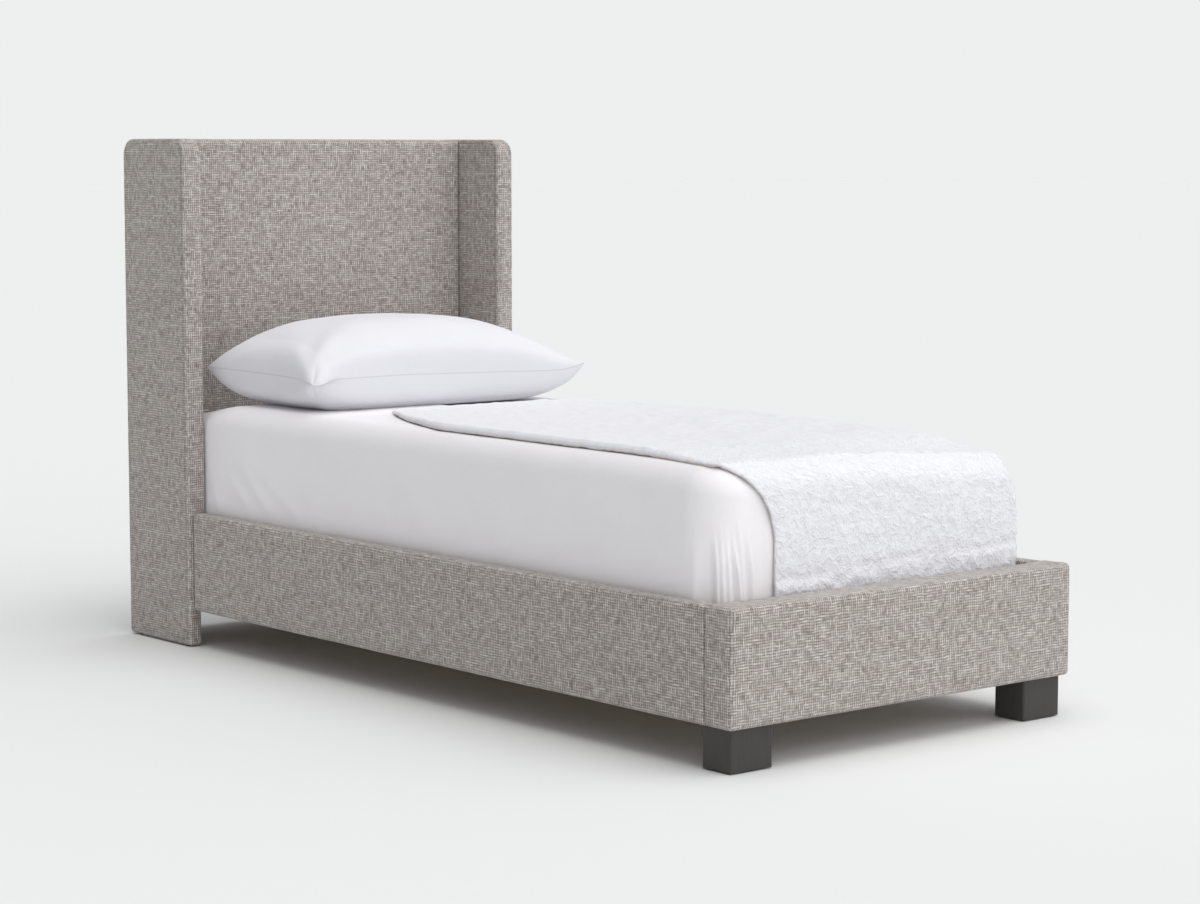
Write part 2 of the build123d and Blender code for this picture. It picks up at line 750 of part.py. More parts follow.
quilt_cut_y = quilt_foot_y + quilt_taper_depth
quilt_taper_width = quilt_taper_x - quilt_left_x
quilt_taper_height = quilt_taper_top_z - quilt_bottom_z
quilt_taper_mid = (
    quilt_left_x + quilt_taper_width * (1 / 2 + quilt_taper_bow_share),
    quilt_bottom_z + quilt_taper_height * (1 / 2 + quilt_taper_bow_share),
)
with BuildPart() as quilt_taper:
    with BuildSketch(Plane.XZ.offset(-quilt_cut_y)):
        with BuildLine():
            taper_start = (quilt_left_x - touch, quilt_taper_top_z)
            taper_end = (quilt_taper_x, quilt_bottom_z - touch)
            ThreePointArc(taper_start, quilt_taper_mid, taper_end)
            Polyline(
                taper_end, (quilt_left_x - overrun, quilt_bottom_z - touch),
                (quilt_left_x - overrun, quilt_taper_top_z), taper_start,
            )
        make_face()
    extrude(amount=quilt_taper_depth + overrun)

quilt_hollow = mattress_form(quilt_inset, sheet_bottom - overrun)
with BuildPart() as quilt:
    add(mattress_form(quilt_inset + quilt_thickness, sheet_bottom - overrun))
    add(quilt_hollow, mode=Mode.SUBTRACT)
    add(quilt_plan.part, mode=Mode.INTERSECT)
    add(quilt_taper.part, mode=Mode.SUBTRACT)
finish("quilt", quilt)

# Pillow: lens sections along its length, drawn in between its four corners

sheet_top = mattress_bottom + mattress_height + sheet_gap + sheet_wall
pillow_y = mattress_head_y - pillow_setback
pillow_seam_z = sheet_top + layer_gap + pillow_bottom_bulge


def pillow_form(shrunk, end_run):
    """The pillow shrunk by an amount, with its right end run out for an opening."""
    half = pillow_length / 2 - shrunk
    with BuildPart() as form:
        sections = []
        for share in pillow_section_shares:
            fullness = (1 - abs(share) ** pillow_swell_power) ** pillow_swell_root
            swell = pillow_end_height_share + (1 - pillow_end_height_share) * fullness
            width = pillow_width / 2 * (1 - pillow_width_draw_share * (1 - share ** 2)) - shrunk
            up = pillow_top_bulge * swell - shrunk
            down = pillow_bottom_bulge * swell - shrunk
            place = share * half + (end_run if share == 1 else 0)
            with BuildSketch(Plane.YZ.offset(place)) as section:
                with BuildLine():
                    left = (pillow_y - width, pillow_seam_z)
                    right = (pillow_y + width, pillow_seam_z)
                    ThreePointArc(left, (pillow_y, pillow_seam_z + up), right)
                    ThreePointArc(right, (pillow_y, pillow_seam_z - down), left)
                make_face()
            sections.append(section.sketch)
        loft(sections)
    return form.part


def pillow_outline(shrunk, end_run):
    """The pillow's plan, with all four sides drawn in between pointed corners."""
    half_x = pillow_length / 2 - shrunk
    half_y = pillow_width / 2 - shrunk
    corners = [(-half_x, -half_y), (half_x, -half_y), (half_x, half_y), (-half_x, half_y)]
    draws = (
        (0, -half_y + pillow_side_draw), (half_x - pillow_end_draw + end_run, 0),
        (0, half_y - pillow_side_draw), (-half_x + pillow_end_draw, 0),
    )
    low_z = pillow_seam_z - pillow_bottom_bulge - overrun
    with BuildPart() as prism:
        with BuildSketch(Plane.XY.offset(low_z)):
            with BuildLine():
                for turn in range(4):
                    start = corners[turn]
                    end = corners[(turn + 1) % 4]
                    middle = draws[turn]
                    ThreePointArc(
                        (start[0], start[1] + pillow_y), (middle[0], middle[1] + pillow_y),
                        (end[0], end[1] + pillow_y),
                    )
            make_face()
        extrude(amount=pillow_top_bulge + pillow_bottom_bulge + 2 * overrun)
    return prism.part


with BuildPart() as pillow:
    add(pillow_form(case_wall + layer_gap, 0))
    add(pillow_outline(case_wall + layer_gap, 0), mode=Mode.INTERSECT)
finish("pillow", pillow)

case_hollow = pillow_form(case_wall, 0)
case_hollow_plan = pillow_outline(case_wall, 2 * case_wall)
with BuildPart() as case_space:
    add(case_hollow)
    add(case_hollow_plan, mode=Mode.INTERSECT)

with BuildPart() as pillowcase:
    add(pillow_form(0, 0))
    add(pillow_outline(0, 0), mode=Mode.INTERSECT)
    add(case_space.part, mode=Mode.SUBTRACT)
finish("pillowcase", pillowcase)

for name, piece in pieces.items():
    export_step(piece.part, f"parts/{name}.step")

print(len(pieces), "pieces, overall", 2 * wing_outer, "x", 2 * half_length, "x", headboard_height)
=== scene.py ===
# %% [markdown]
# # An upholstered bed
#
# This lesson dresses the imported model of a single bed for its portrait. The frame comes from the
# CAD model and never moves. What is soft on the real bed is modelled here: the padded headboard,
# wings, rails and footboard, the mattress, the fitted sheet, the quilt and the pillow. Wood, steel
# and felt keep their CAD shape and get a finish of their own.

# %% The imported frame
import math

import bmesh
import bpy
import numpy as np
from mathutils import Matrix, Vector, noise


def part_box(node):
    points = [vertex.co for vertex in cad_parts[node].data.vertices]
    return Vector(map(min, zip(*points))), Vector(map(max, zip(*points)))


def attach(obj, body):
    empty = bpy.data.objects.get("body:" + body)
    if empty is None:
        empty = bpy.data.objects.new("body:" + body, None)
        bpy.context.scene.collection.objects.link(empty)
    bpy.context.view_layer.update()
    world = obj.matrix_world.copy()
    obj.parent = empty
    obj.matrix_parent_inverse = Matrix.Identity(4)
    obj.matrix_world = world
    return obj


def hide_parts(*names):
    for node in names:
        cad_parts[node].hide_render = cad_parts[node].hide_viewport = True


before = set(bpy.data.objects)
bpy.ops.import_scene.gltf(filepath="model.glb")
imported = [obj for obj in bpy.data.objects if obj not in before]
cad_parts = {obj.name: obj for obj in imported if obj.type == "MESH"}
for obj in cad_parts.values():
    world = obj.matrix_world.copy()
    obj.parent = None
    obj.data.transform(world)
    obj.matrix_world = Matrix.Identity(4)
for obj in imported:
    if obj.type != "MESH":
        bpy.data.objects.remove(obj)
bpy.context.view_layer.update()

# %% [markdown]
# ## Camera
#
# The bed was photographed from beyond its foot, over its left side, with a long lens. The place
# and the turn were solved from the corners of the footboard, the rails and the wings, so the
# camera needs no shift.

# %% Camera
camera_place = (-4.2511, -5.2566, 1.2127)
camera_turn = (math.radians(84.11), 0, math.radians(-39.67))
camera_lens = 87.76

camera_data = bpy.data.cameras.new("camera")
camera_data.lens = camera_lens
camera_data.clip_end = 200
camera = bpy.data.objects.new("camera", camera_data)
camera.location = camera_place
camera.rotation_euler = camera_turn
bpy.context.scene.collection.objects.link(camera)
bpy.context.scene.camera = camera
bpy.context.scene.view_settings.view_transform = "Standard"
print("camera", camera_place, "lens", camera_lens)

# %% [markdown]
# ## Sums with sockets
#
# A woven cloth is a sum of stripes, steps and noise. Written node by node such a sum can't be
# read, so a small class holds one socket and lets Python's own operators add the Math nodes. A
# second class holds a node tree, with one method for every other kind of node, and a third a
# material.


# %% Shader values
def feed(tree, socket, value):
    """Links a value to a socket, or sets the socket to a plain number or colour."""
    if isinstance(value, Value):
        tree.links.new(value.socket, socket)
    elif hasattr(value, "__len__") and len(value) == 3 and len(socket.default_value) == 4:
        socket.default_value = (*value, 1)
    else:
        socket.default_value = value


def math_node(operation, swapped=False):
    """A method that adds one Math node, fed by a value and its partner."""

    def method(self, *partner):
        node = self.tree.nodes.new("ShaderNodeMath")
        node.operation = operation
        inputs = (*partner, self) if swapped else (self, *partner)
        for socket, value in zip(node.inputs, inputs):
            feed(self.tree, socket, value)
        return Value(self.tree, node.outputs[0])

    return method


class Value:
    """One socket of a node tree. The operators on it add Math nodes."""

    def __init__(self, tree, socket):
        self.tree = tree
        self.socket = socket

    __add__, __radd__ = math_node("ADD"), math_node("ADD", swapped=True)
    __sub__, __rsub__ = math_node("SUBTRACT"), math_node("SUBTRACT", swapped=True)
    __mul__, __rmul__ = math_node("MULTIPLY"), math_node("MULTIPLY", swapped=True)
    __truediv__, __pow__ = math_node("DIVIDE"), math_node("POWER")
    __mod__, floor, part = math_node("FLOORED_MODULO"), math_node("FLOOR"), math_node("FRACT")
    wave, size = math_node("SINE"), math_node("ABSOLUTE")
    at_least, at_most = math_node("MAXIMUM"), math_node("MINIMUM")

    def within(self, low=0.0, high=1.0):
        return self.at_least(low).at_most(high)

    def arch(self):
        """Half a wave, from 0 up to 1 and down again, over each whole turn."""
        return (self.part() * math.pi).wave()


# %% A material being made
class Nodes:
    """A node tree whose nodes are added one call at a time."""

    def __init__(self, tree):
        self.tree = tree

    def node(self, kind, settings, sockets, output=0):
        """Adds a node of a kind with its settings, feeds its sockets and gives one output."""
        node = self.tree.nodes.new("ShaderNode" + kind)
        stops = settings.pop("stops", ())
        for name, value in settings.items():
            setattr(node, name, value)
        for turn, (place, colour) in enumerate(stops):
            ramp = node.color_ramp.elements
            stop = ramp[turn] if turn < len(ramp) else ramp.new(place)
            stop.position = place
            stop.color = (*colour, 1)
        for name, value in sockets.items():
            named = [s for s in node.inputs if name in (s.identifier, s.name)]
            feed(self.tree, named[0] if named else node.inputs[name], value)
        return Value(self.tree, node.outputs[output]) if node.outputs else None

    def object_place(self):
        return self.node("TexCoord", {}, {}, "Object")

    def scaled(self, place, scales):
        sockets = {"Vector": place, "Vector_001": scales}
        return self.node("VectorMath", {"operation": "MULTIPLY"}, sockets)

    def split(self, place):
        part = self.node("SeparateXYZ", {}, {"Vector": place})
        return [Value(self.tree, output) for output in part.socket.node.outputs]

    def joined(self, x, y, z):
        return self.node("CombineXYZ", {}, {"X": x, "Y": y, "Z": z})

    def cloud(self, place, scale, detail=2.0, roughness=0.5):
        """Soft noise from 0 to 1 at a scale in turns a metre."""
        sockets = {"Vector": place, "Scale": scale, "Detail": detail, "Roughness": roughness}
        return self.node("TexNoise", {}, sockets)

    def wander(self, place, scale, reach):
        """Moves places in X and Y by soft noise."""
        drift = self.node("TexNoise", {}, {"Vector": place, "Scale": scale, "Detail": 2.0}, "Color")
        moved = self.scaled(drift, (reach, reach, 0.0))
        return self.node("VectorMath", {"operation": "ADD"}, {"Vector": place, "Vector_001": moved})

    def creases(self, place, scale, sharpness):
        """Thin wandering lines, where soft noise passes its middle."""
        from_middle = (self.cloud(place, scale, 1.0, 0.6) * 2 - 1).size()
        return 1 - (from_middle * sharpness).at_most(1.0)

    def ramp(self, factor, stops):
        return self.node("ValToRGB", {"stops": stops}, {"Fac": factor})

    def blend(self, factor, first, second):
        sockets = {"Factor_Float": factor, "A_Color": first, "B_Color": second}
        return self.node("Mix", {"data_type": "RGBA"}, sockets, 2)

    def relief(self, height, depth, strength=1.0):
        """The surface normal over a height field that is depth metres deep."""
        return self.node("Bump", {}, {"Height": height, "Distance": depth, "Strength": strength})


class Recipe(Nodes):
    """A material that is being made round its Principled shader."""

    def __init__(self, name):
        self.material = bpy.data.materials.new(name)
        self.material.use_nodes = True
        super().__init__(self.material.node_tree)
        self.shader = self.tree.nodes["Principled BSDF"]

    def finish(self, **sockets):
        """Feeds the shader, with spaces in the names of its sockets written as underlines."""
        for name, value in sockets.items():
            feed(self.tree, self.shader.inputs[name.replace("_", " ")], value)
        print("finish", self.material.name, len(self.tree.nodes), "nodes")
        return self.material


def srgb(red, green, blue):
    """A colour as a screen shows it, from 0 to 255, in the shader's linear values."""
    parts = (value / 255 for value in (red, green, blue))
    return tuple(v / 12.92 if v < 0.04045 else ((v + 0.055) / 1.055) ** 2.4 for v in parts)


def grained(name, colours, grain, rough, relief=None, stretch=None, **constants):
    """A finish whose tone, roughness and relief all follow one soft noise, stretched or not."""
    recipe = Recipe(name)
    place = recipe.object_place()
    if stretch:
        place = recipe.scaled(place, stretch)
    tone = recipe.cloud(place, *grain)
    if relief:
        constants["Normal"] = recipe.relief(tone, *relief)
    return recipe.finish(
        Base_Color=recipe.blend(tone, *[srgb(*colour) for colour in colours]),
        Roughness=rough[0] + tone * rough[1],
        **constants,
    )


# %% [markdown]
# ## The covering fabric
#
# The frame is covered in a heavy linen-like cloth. Its threads are fine, with thicker slub yarns
# among them that show for a few centimetres, pale or dark, and then sink again. That gives the
# fine hatching in both directions. A picture of cloth would repeat, so the threads are worked out
# from stripes and from noise drawn out along each thread, and they wander a little.

# %% Linen weave
thread_pitch = 0.0024
thread_apart = 5.7
thread_wander = 0.006
wander_scale = 30.0
slub_every = 2.4
slub_length = 8.0
slub_contrast = 2.4
slub_sinks = 0.7
weave_depth = 0.0009
weave_stops = [(0.0, srgb(98, 87, 81)), (0.45, srgb(165, 157, 152)), (1.0, srgb(221, 218, 214))]


def linen_weave():
    """Every thread has a tone of its own, from one step of the noise, that changes along it."""
    recipe = Recipe("linen_weave")
    laid = recipe.node("UVMap", {"uv_map": "weave"}, {}, "UV")
    across, up, _ = recipe.split(recipe.wander(laid, wander_scale, thread_wander))
    column, row = across / thread_pitch, up / thread_pitch
    warp, weft = column / slub_every, row / slub_every
    warp_place = recipe.joined(warp.floor() * thread_apart, row / slub_length, 0.0)
    weft_place = recipe.joined(column / slub_length, weft.floor() * thread_apart, 9.0)
    warp_tone, weft_tone = [recipe.cloud(place, 1.0, 1.0) for place in (warp_place, weft_place)]
    warp_slub = warp.arch() * (warp_tone * slub_contrast - slub_sinks).within()
    weft_slub = weft.arch() * (weft_tone * slub_contrast - slub_sinks).within()
    slubs = warp_slub.at_least(weft_slub)
    over = (column.floor() + row.floor()) % 2.0
    roundness = column.arch() * over + row.arch() * (1 - over)
    # roundness also paints each thread lighter along its crown and darker at its edges: painted
    # shade of its round profile, on top of the threads' own tones
    shade = slubs * 0.66 + (warp.arch() + weft.arch()) * 0.21 + roundness * 0.14 - 0.18
    return recipe.finish(
        Base_Color=recipe.ramp(shade, weave_stops),
        Roughness=0.95 - roundness * 0.1,
        Specular_IOR_Level=0.1,
        Sheen_Weight=0.4,
        Sheen_Roughness=0.5,
        Sheen_Tint=(0.9, 0.88, 0.86),
        Normal=recipe.relief(slubs + roundness * 0.4, weave_depth, 0.8),
    )


linen = linen_weave()

# %% [markdown]
# ## White bedding
#
# The sheet and the pillowcase are smooth cotton: nearly white, matt, with a faint crumple. The
# quilt is a heavier white cloth, stitched all over in a wandering line that draws it up into small
# puckers.

# %% Cotton and quilting
seam_line = 0.0022
seam_painted_shade = 0.80
crumple_painted_shade = 0.94
patch_count = 26.0
patch_wander = 0.03
crinkle_pitch = 0.0068
quilt_relief = 0.0021


def darker(colour, share):
    return tuple(value * share for value in colour)


def smooth_cotton(name, colour, crumple_depth, seamed=False):
    """Plain white cotton with a fine thread and a faint crumple, and a seam if it has one.

    The hollows of the crumple and the seam line are painted darker: painted shade.
    """
    recipe = Recipe(name)
    place = recipe.object_place()
    crumple = recipe.cloud(place, 9.0, 4.0, 0.55)
    thread = recipe.cloud(place, 900.0, 1.0)
    # The colour is darker where the crumple is low: painted shade in its hollows.
    shade = recipe.blend(crumple, darker(colour, crumple_painted_shade), colour)
    if seamed:
        from_seam, _, _ = recipe.split(recipe.node("UVMap", {"uv_map": "seam"}, {}, "UV"))
        apart = (from_seam / seam_line).at_most(1.0)
        # A darker line along the seam: a painted shadow under the seam.
        shade = recipe.blend(apart, darker(colour, seam_painted_shade), shade)
    return recipe.finish(
        Base_Color=shade,
        Roughness=0.82 + thread * 0.1,
        Specular_IOR_Level=0.2,
        Sheen_Weight=0.15,
        Normal=recipe.relief(thread * 0.05 + crumple, crumple_depth, 0.7),
    )


def stitched_cotton():
    """White quilting. Each patch between the stitches is drawn up into crinkles of its own.

    The relief is deepest near the foot, where the cloth bends most, and fades towards the head. Its
    hollows are painted darker with it, as painted shade."""
    recipe = Recipe("stitched_cotton")
    cloth = recipe.node("UVMap", {"uv_map": "cloth"}, {}, "UV")
    wandering = recipe.wander(cloth, 24.0, patch_wander)
    patches = {"Vector": wandering, "Scale": patch_count}
    stitch = recipe.node("TexVoronoi", {"feature": "DISTANCE_TO_EDGE"}, patches, "Distance")
    patch, _, _ = recipe.split(recipe.node("TexVoronoi", {}, patches, "Color"))
    across, along, _ = recipe.split(wandering)
    turn = patch * math.pi
    run = turn.wave() * along + (turn + math.pi / 2).wave() * across
    phase = run * (2 * math.pi / crinkle_pitch) + recipe.cloud(cloth, 60.0, 2.0) * 5.0
    crinkle = phase.wave() * 0.5 + 0.5
    pillowed = (stitch * 4.0).at_most(1.0)
    creased = recipe.creases(wandering, 40.0, 5.0) * 0.5 + recipe.creases(cloth, 85.0, 4.0) * 0.3
    _, toward_head, _ = recipe.split(cloth)
    worked = ((-0.45 - toward_head) * 1.45).within(0.25)
    # height drives both the relief and the colour, which is darker in its hollows: painted shade.
    height = (pillowed * 0.3 + crinkle * 0.1 + creased) * worked
    return recipe.finish(
        Base_Color=recipe.blend(height, srgb(228, 228, 233), srgb(238, 239, 244)),
        Roughness=0.92 - pillowed * 0.06,
        Specular_IOR_Level=0.12,
        Sheen_Weight=0.1,
        Normal=recipe.relief(height, quilt_relief),
    )


sheet_cotton = smooth_cotton("sheet_cotton", srgb(244, 242, 245), 0.004)
case_cotton = smooth_cotton("case_cotton", srgb(226, 226, 231), 0.003, seamed=True)
quilt_cotton = stitched_cotton()
# The binding is a beige darker than the quilt's white: painted shade for the thin shadow line under
# the quilt's edge.
binding_with_painted_shade = grained(
    "bound_edge_with_painted_shade", ((196, 184, 174), (222, 213, 206)), (120.0, 2.0), (0.9, 0.05),
    Specular_IOR_Level=0.15,
)

# %% [markdown]
# ## Hidden cloths
#
# Under the covers are knitted ticking, a thin dark lining, woven tape and, below the feet, felt.
# They show only when the mattress is lifted or the bed is seen from behind or below.


# %% Ticking, lining, tape and felt
def knitted_ticking():
    recipe = Recipe("knitted_ticking")
    x, y, z = recipe.split(recipe.object_place())
    lattice = ((x + y + z) * 90.0).wave() * ((x - y + z) * 90.0).wave()
    rib = (z * 900.0).wave()
    return recipe.finish(
        Base_Color=recipe.blend(lattice * 0.5 + 0.5, srgb(222, 222, 220), srgb(240, 240, 238)),
        Roughness=0.85 + rib * 0.03,
        Sheen_Weight=0.1,
        Normal=recipe.relief(lattice * 0.5 + rib * 0.1, 0.002, 0.6),
    )


def plain_lining():
    recipe = Recipe("plain_lining")
    place = recipe.object_place()
    x, _, z = recipe.split(place)
    threads = (x * 4000.0).wave() * (z * 4000.0).wave()
    wear = recipe.cloud(place, 6.0, 3.0)
    return recipe.finish(
        Base_Color=recipe.blend(wear, srgb(48, 46, 45), srgb(66, 63, 61)),
        Roughness=0.9 + threads * 0.04,
        Specular_IOR_Level=0.2,
        Normal=recipe.relief(threads, 0.0002, 0.5),
    )


def woven_tape():
    recipe = Recipe("woven_tape")
    x, y, _ = recipe.split(recipe.object_place())
    ribs = (y * 2500.0).wave() * 0.6 + (x * 2500.0).wave() * 0.4
    return recipe.finish(
        Base_Color=recipe.blend(ribs * 0.5 + 0.5, srgb(198, 192, 178), srgb(226, 221, 208)),
        Roughness=0.85 + ribs * 0.05,
        Normal=recipe.relief(ribs, 0.0003, 0.8),
    )


ticking = knitted_ticking()
lining = plain_lining()
tape = woven_tape()
felt = grained(
    "pressed_felt", ((34, 33, 33), (62, 60, 59)), (700.0, 4.0, 0.7), (0.9, 0.1), (0.0006, 0.8),
    Sheen_Weight=0.3,
)

# %% [markdown]
# ## Wood, board, steel and plastic
#
# The slats, cleats and battens are planed pine, and the boards are plywood. The two front feet are
# hardwood under a charcoal satin lacquer that still lets a little grain through. Brackets, plates
# and screws are zinc plated.


# %% Wood and board
def planed_pine(name, along, pale, dark):
    """Pine whose grain runs along X, Y or Z."""
    recipe = Recipe(name)
    place = recipe.object_place()

    def drawn_out(across, lengthwise):
        scales = tuple(lengthwise if axis == along else across for axis in "XYZ")
        return recipe.scaled(place, scales)

    rings = recipe.cloud(drawn_out(34.0, 1.6), 1.0, 3.0, 0.6)
    bands = ((rings * 26.0).wave() * 0.5 + 0.5) ** 2.0
    pores = recipe.cloud(drawn_out(420.0, 9.0), 1.0, 2.0)
    return recipe.finish(
        Base_Color=recipe.blend(bands * 0.6 + pores * 0.3, srgb(*pale), srgb(*dark)),
        Roughness=0.55 + pores * 0.15,
        Specular_IOR_Level=0.35,
        Normal=recipe.relief(pores * 0.5 + bands * 0.3, 0.0003, 0.5),
    )


def charcoal_lacquer():
    """Dark satin lacquer with the grain just showing, a little cloudy in its shine."""
    recipe = Recipe("charcoal_lacquer")
    place = recipe.object_place()
    grain = recipe.cloud(recipe.scaled(place, (160.0, 160.0, 14.0)), 1.0, 4.0, 0.6)
    cloudy = recipe.cloud(place, 22.0, 2.0)
    return recipe.finish(
        Base_Color=recipe.blend(grain, srgb(59, 57, 56), srgb(70, 68, 67)),
        Roughness=0.34 + cloudy * 0.14,
        Specular_IOR_Level=0.3,
        Normal=recipe.relief(grain, 0.00018, 0.35),
    )


pine_across = planed_pine("pine_across", "X", (226, 196, 150), (190, 146, 96))
pine_along = planed_pine("pine_along", "Y", (224, 193, 148), (188, 145, 96))
pine_upright = planed_pine("pine_upright", "Z", (222, 190, 145), (186, 143, 94))
board = grained(
    "plywood", ((196, 164, 122), (168, 132, 92)), (1.0, 4.0, 0.6), (0.6, 0.15), (0.0003, 0.5),
    stretch=(60.0, 60.0, 3.0), Specular_IOR_Level=0.3,
)
lacquer = charcoal_lacquer()


# %% Steel and plastic
def zinc_plate():
    recipe = Recipe("zinc_plate")
    place = recipe.object_place()
    spangle = recipe.node("TexVoronoi", {}, {"Vector": place, "Scale": 160.0}, "Distance")
    scuffs = recipe.cloud(place, 60.0, 4.0, 0.65)
    return recipe.finish(
        Base_Color=recipe.blend(spangle, srgb(186, 188, 190), srgb(206, 208, 210)),
        Metallic=0.85 + scuffs * 0.15,
        Roughness=0.28 + scuffs * 0.25,
        Normal=recipe.relief(scuffs, 0.0001, 0.4),
    )


zinc = zinc_plate()
plastic = grained(
    "moulded_plastic", ((38, 38, 39), (50, 50, 51)), (500.0, 2.0), (0.4, 0.2), (0.0001, 0.5)
)

# %% [markdown]
# ## Padded pieces
#
# Each member of the frame is a board in foam, with the cloth pulled tight over it. So each is a
# block with soft edges, a slight swell between them, and a seam where two lengths of cloth meet. A
# cube is cut into a grid, its sharp edges are bevelled, and a shallow groove is let in for each
# seam.

# %% Helpers for padded blocks
grid_step = 0.045
edge_segments = 5
sharp_angle = 0.7
seam_inset = 0.002
seam_width = 0.0022
seam_depth = 0.0016
seam_rim = 0.006
flat_rim = 0.008
uneven_depth = 0.0009
uneven_scale = 7.0
touching = 0.001


def box(node):
    """The lowest and the highest corner of a CAD node."""
    return [Vector(corner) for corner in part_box(node)]


def make_piece(name, work, finish):
    """Turns a bmesh into a smooth shaded object with its finish."""
    mesh = bpy.data.meshes.new(name)
    work.to_mesh(mesh)
    work.free()
    mesh.shade_smooth()
    mesh.materials.append(finish)
    piece = bpy.data.objects.new(name, mesh)
    bpy.context.scene.collection.objects.link(piece)
    print(name, len(mesh.polygons), "faces")
    return piece


def block(low, high):
    """A cube brought to the low and the high corner of a block."""
    work = bmesh.new()
    low, high = Vector(low), Vector(high)
    place = Matrix.Translation((low + high) / 2) @ Matrix.Diagonal((*(high - low), 1))
    bmesh.ops.create_cube(work, size=1.0, matrix=place)
    return work


def cut(work, place, normal):
    """Cuts a mesh with one plane."""
    everything = work.verts[:] + work.edges[:] + work.faces[:]
    bmesh.ops.bisect_plane(work, geom=everything, plane_co=place, plane_no=normal)


def cut_grid(work, axis, low, high, step=grid_step):
    """Cuts a mesh with even planes across one axis."""
    count = max(2, round((high - low) / step))
    for turn in range(1, count):
        place, normal = [0, 0, 0], [0, 0, 0]
        place[axis], normal[axis] = low + (high - low) * turn / count, 1
        cut(work, place, normal)


def sharp_edges(work, wanted=lambda edge: True):
    """The edges where two flat sides meet, or those of them that are wanted."""
    inner = [edge for edge in work.edges if len(edge.link_faces) == 2]
    return [edge for edge in inner if edge.calc_face_angle() > sharp_angle and wanted(edge)]


def soften(work, edges, radius, segments=edge_segments):
    """Rounds edges to a radius."""
    bmesh.ops.bevel(
        work, geom=edges, offset=radius, offset_type="OFFSET", segments=segments,
        profile=0.5, affect="EDGES", clamp_overlap=True, material=-1,
    )


def flat_side(work, axis, sign, place):
    """The faces that lie flat in one side of a block."""
    facing = [face for face in work.faces if face.normal[axis] * sign > 0.99]
    return [face for face in facing if abs(face.calc_center_median()[axis] - place) < touching / 2]


def let_in_seam(work, faces):
    """A narrow groove just inside the rim of a flat side."""
    half = seam_width / 2
    for width, depth in ((seam_inset, 0), (half, -seam_depth), (half, seam_depth), (seam_rim, 0)):
        bmesh.ops.inset_region(
            work, faces=faces, thickness=width, depth=depth, use_even_offset=True
        )


def swell(work, low, high, amounts):
    """Moves each side out by up to an amount, most in its middle, with a slight unevenness."""
    middle, half = (low + high) / 2, (high - low) / 2
    for vert in work.verts:
        shares = [(vert.co[axis] - middle[axis]) / half[axis] for axis in range(3)]
        fade = [1 - min(1, abs(share)) ** 4 for share in shares]
        uneven = uneven_depth * noise.noise(vert.co * uneven_scale)
        for axis in range(3):
            others = [fade[other] for other in range(3) if other != axis]
            vert.co[axis] += (amounts[axis] + uneven) * shares[axis] * others[0] * others[1]


def lay_weave(work):
    """Lays the cloth on each side in metres, so that its threads run along the edges."""
    layer = work.loops.layers.uv.new("weave")
    for face in work.faces:
        axis = max(range(3), key=lambda turn: abs(face.normal[turn]))
        first, second = [(1, 2), (0, 2), (0, 1)][axis]
        for loop in face.loops:
            loop[layer].uv = (loop.vert.co[first] + 5 + axis, loop.vert.co[second] + 5)


def upholster(name, work, *nodes):
    """Covers a block in linen and puts it in the place of its CAD nodes."""
    lay_weave(work)
    piece = make_piece(name, work, linen)
    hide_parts(*nodes)
    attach(piece, "bed_frame")


# %% [markdown]
# ## Side rails
#
# A rail butts against the front of the wing at its head end and against the footboard at its foot
# end. Its long edges are soft, and so is its head end, where a dark line parts it from the wing.

# %% Side rails
rail_edge = 0.010
rail_upright_step = 0.06
rail_swell = (0.0022, 0, 0.0006)


def make_rail(name):
    low, high = box("rail_cover_" + name)
    work = block(low, high)
    cut_grid(work, 1, low.y, high.y)
    cut_grid(work, 2, low.z, high.z, rail_upright_step)
    foot_rim = [vert for vert in work.verts if abs(vert.co.y - low.y) < touching]
    edges = sharp_edges(work, lambda edge: not all(vert in foot_rim for vert in edge.verts))
    soften(work, edges, rail_edge)
    for sign, place in ((-1, low.x), (1, high.x)):
        bmesh.ops.inset_region(work, faces=flat_side(work, 0, sign, place), thickness=flat_rim)
    swell(work, low, high, rail_swell)
    upholster("rail_upholstery_" + name, work, "rail_cover_" + name, "rail_padding_" + name)


for name in ("left", "right"):
    make_rail(name)


# %% [markdown]
# ## Footboard
#
# The footboard is a box of its own, with its cover drawn round both ends. Its upper corners stand
# a little proud, where the cloth is folded over itself.

# %% Footboard
footboard_edge = 0.010
footboard_steps = (0.02, 0.02, 0.04)
footboard_swell = (0.001, 0.003, 0.0006)
corner_fold_depth = 0.02
corner_fold_rise = 0.004
corner_fold_reach = 0.05
corner_fold_noise = 40.0


def fold_corners(work, low, high):
    """Lifts the top of a block near its ends, where folded cloth lies double."""
    for vert in work.verts:
        if vert.co.z < high.z - corner_fold_depth:
            continue
        reach = min(vert.co.x - low.x, high.x - vert.co.x)
        near = max(0, 1 - reach / corner_fold_reach)
        uneven = 0.7 + 0.6 * noise.noise(vert.co * corner_fold_noise)
        vert.co.z += corner_fold_rise * near * uneven


def make_footboard():
    low, high = box("footboard_cover")
    work = block(low, high)
    for axis, step in enumerate(footboard_steps):
        cut_grid(work, axis, low[axis], high[axis], step)
    soften(work, sharp_edges(work), footboard_edge)
    swell(work, low, high, footboard_swell)
    fold_corners(work, low, high)
    upholster("footboard_upholstery", work, "footboard_cover", "footboard_padding")


make_footboard()

# %% [markdown]
# ## Wings
#
# A wing is a padded leg that reaches from the floor to the top of the headboard. Below the rail it
# steps back. Its two broad sides are sewn to a narrow band that runs up the front, over the top
# and down the back, so each broad side has a seam round its rim.

# %% Wings
wing_corner = 0.040
wing_corner_segments = 8
wing_edge = 0.008
wing_edge_segments = 4
wing_step = 0.015
wing_swell = (0.002, 0.0015, 0.001)
rail_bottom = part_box("rail_cover_left")[0][2]


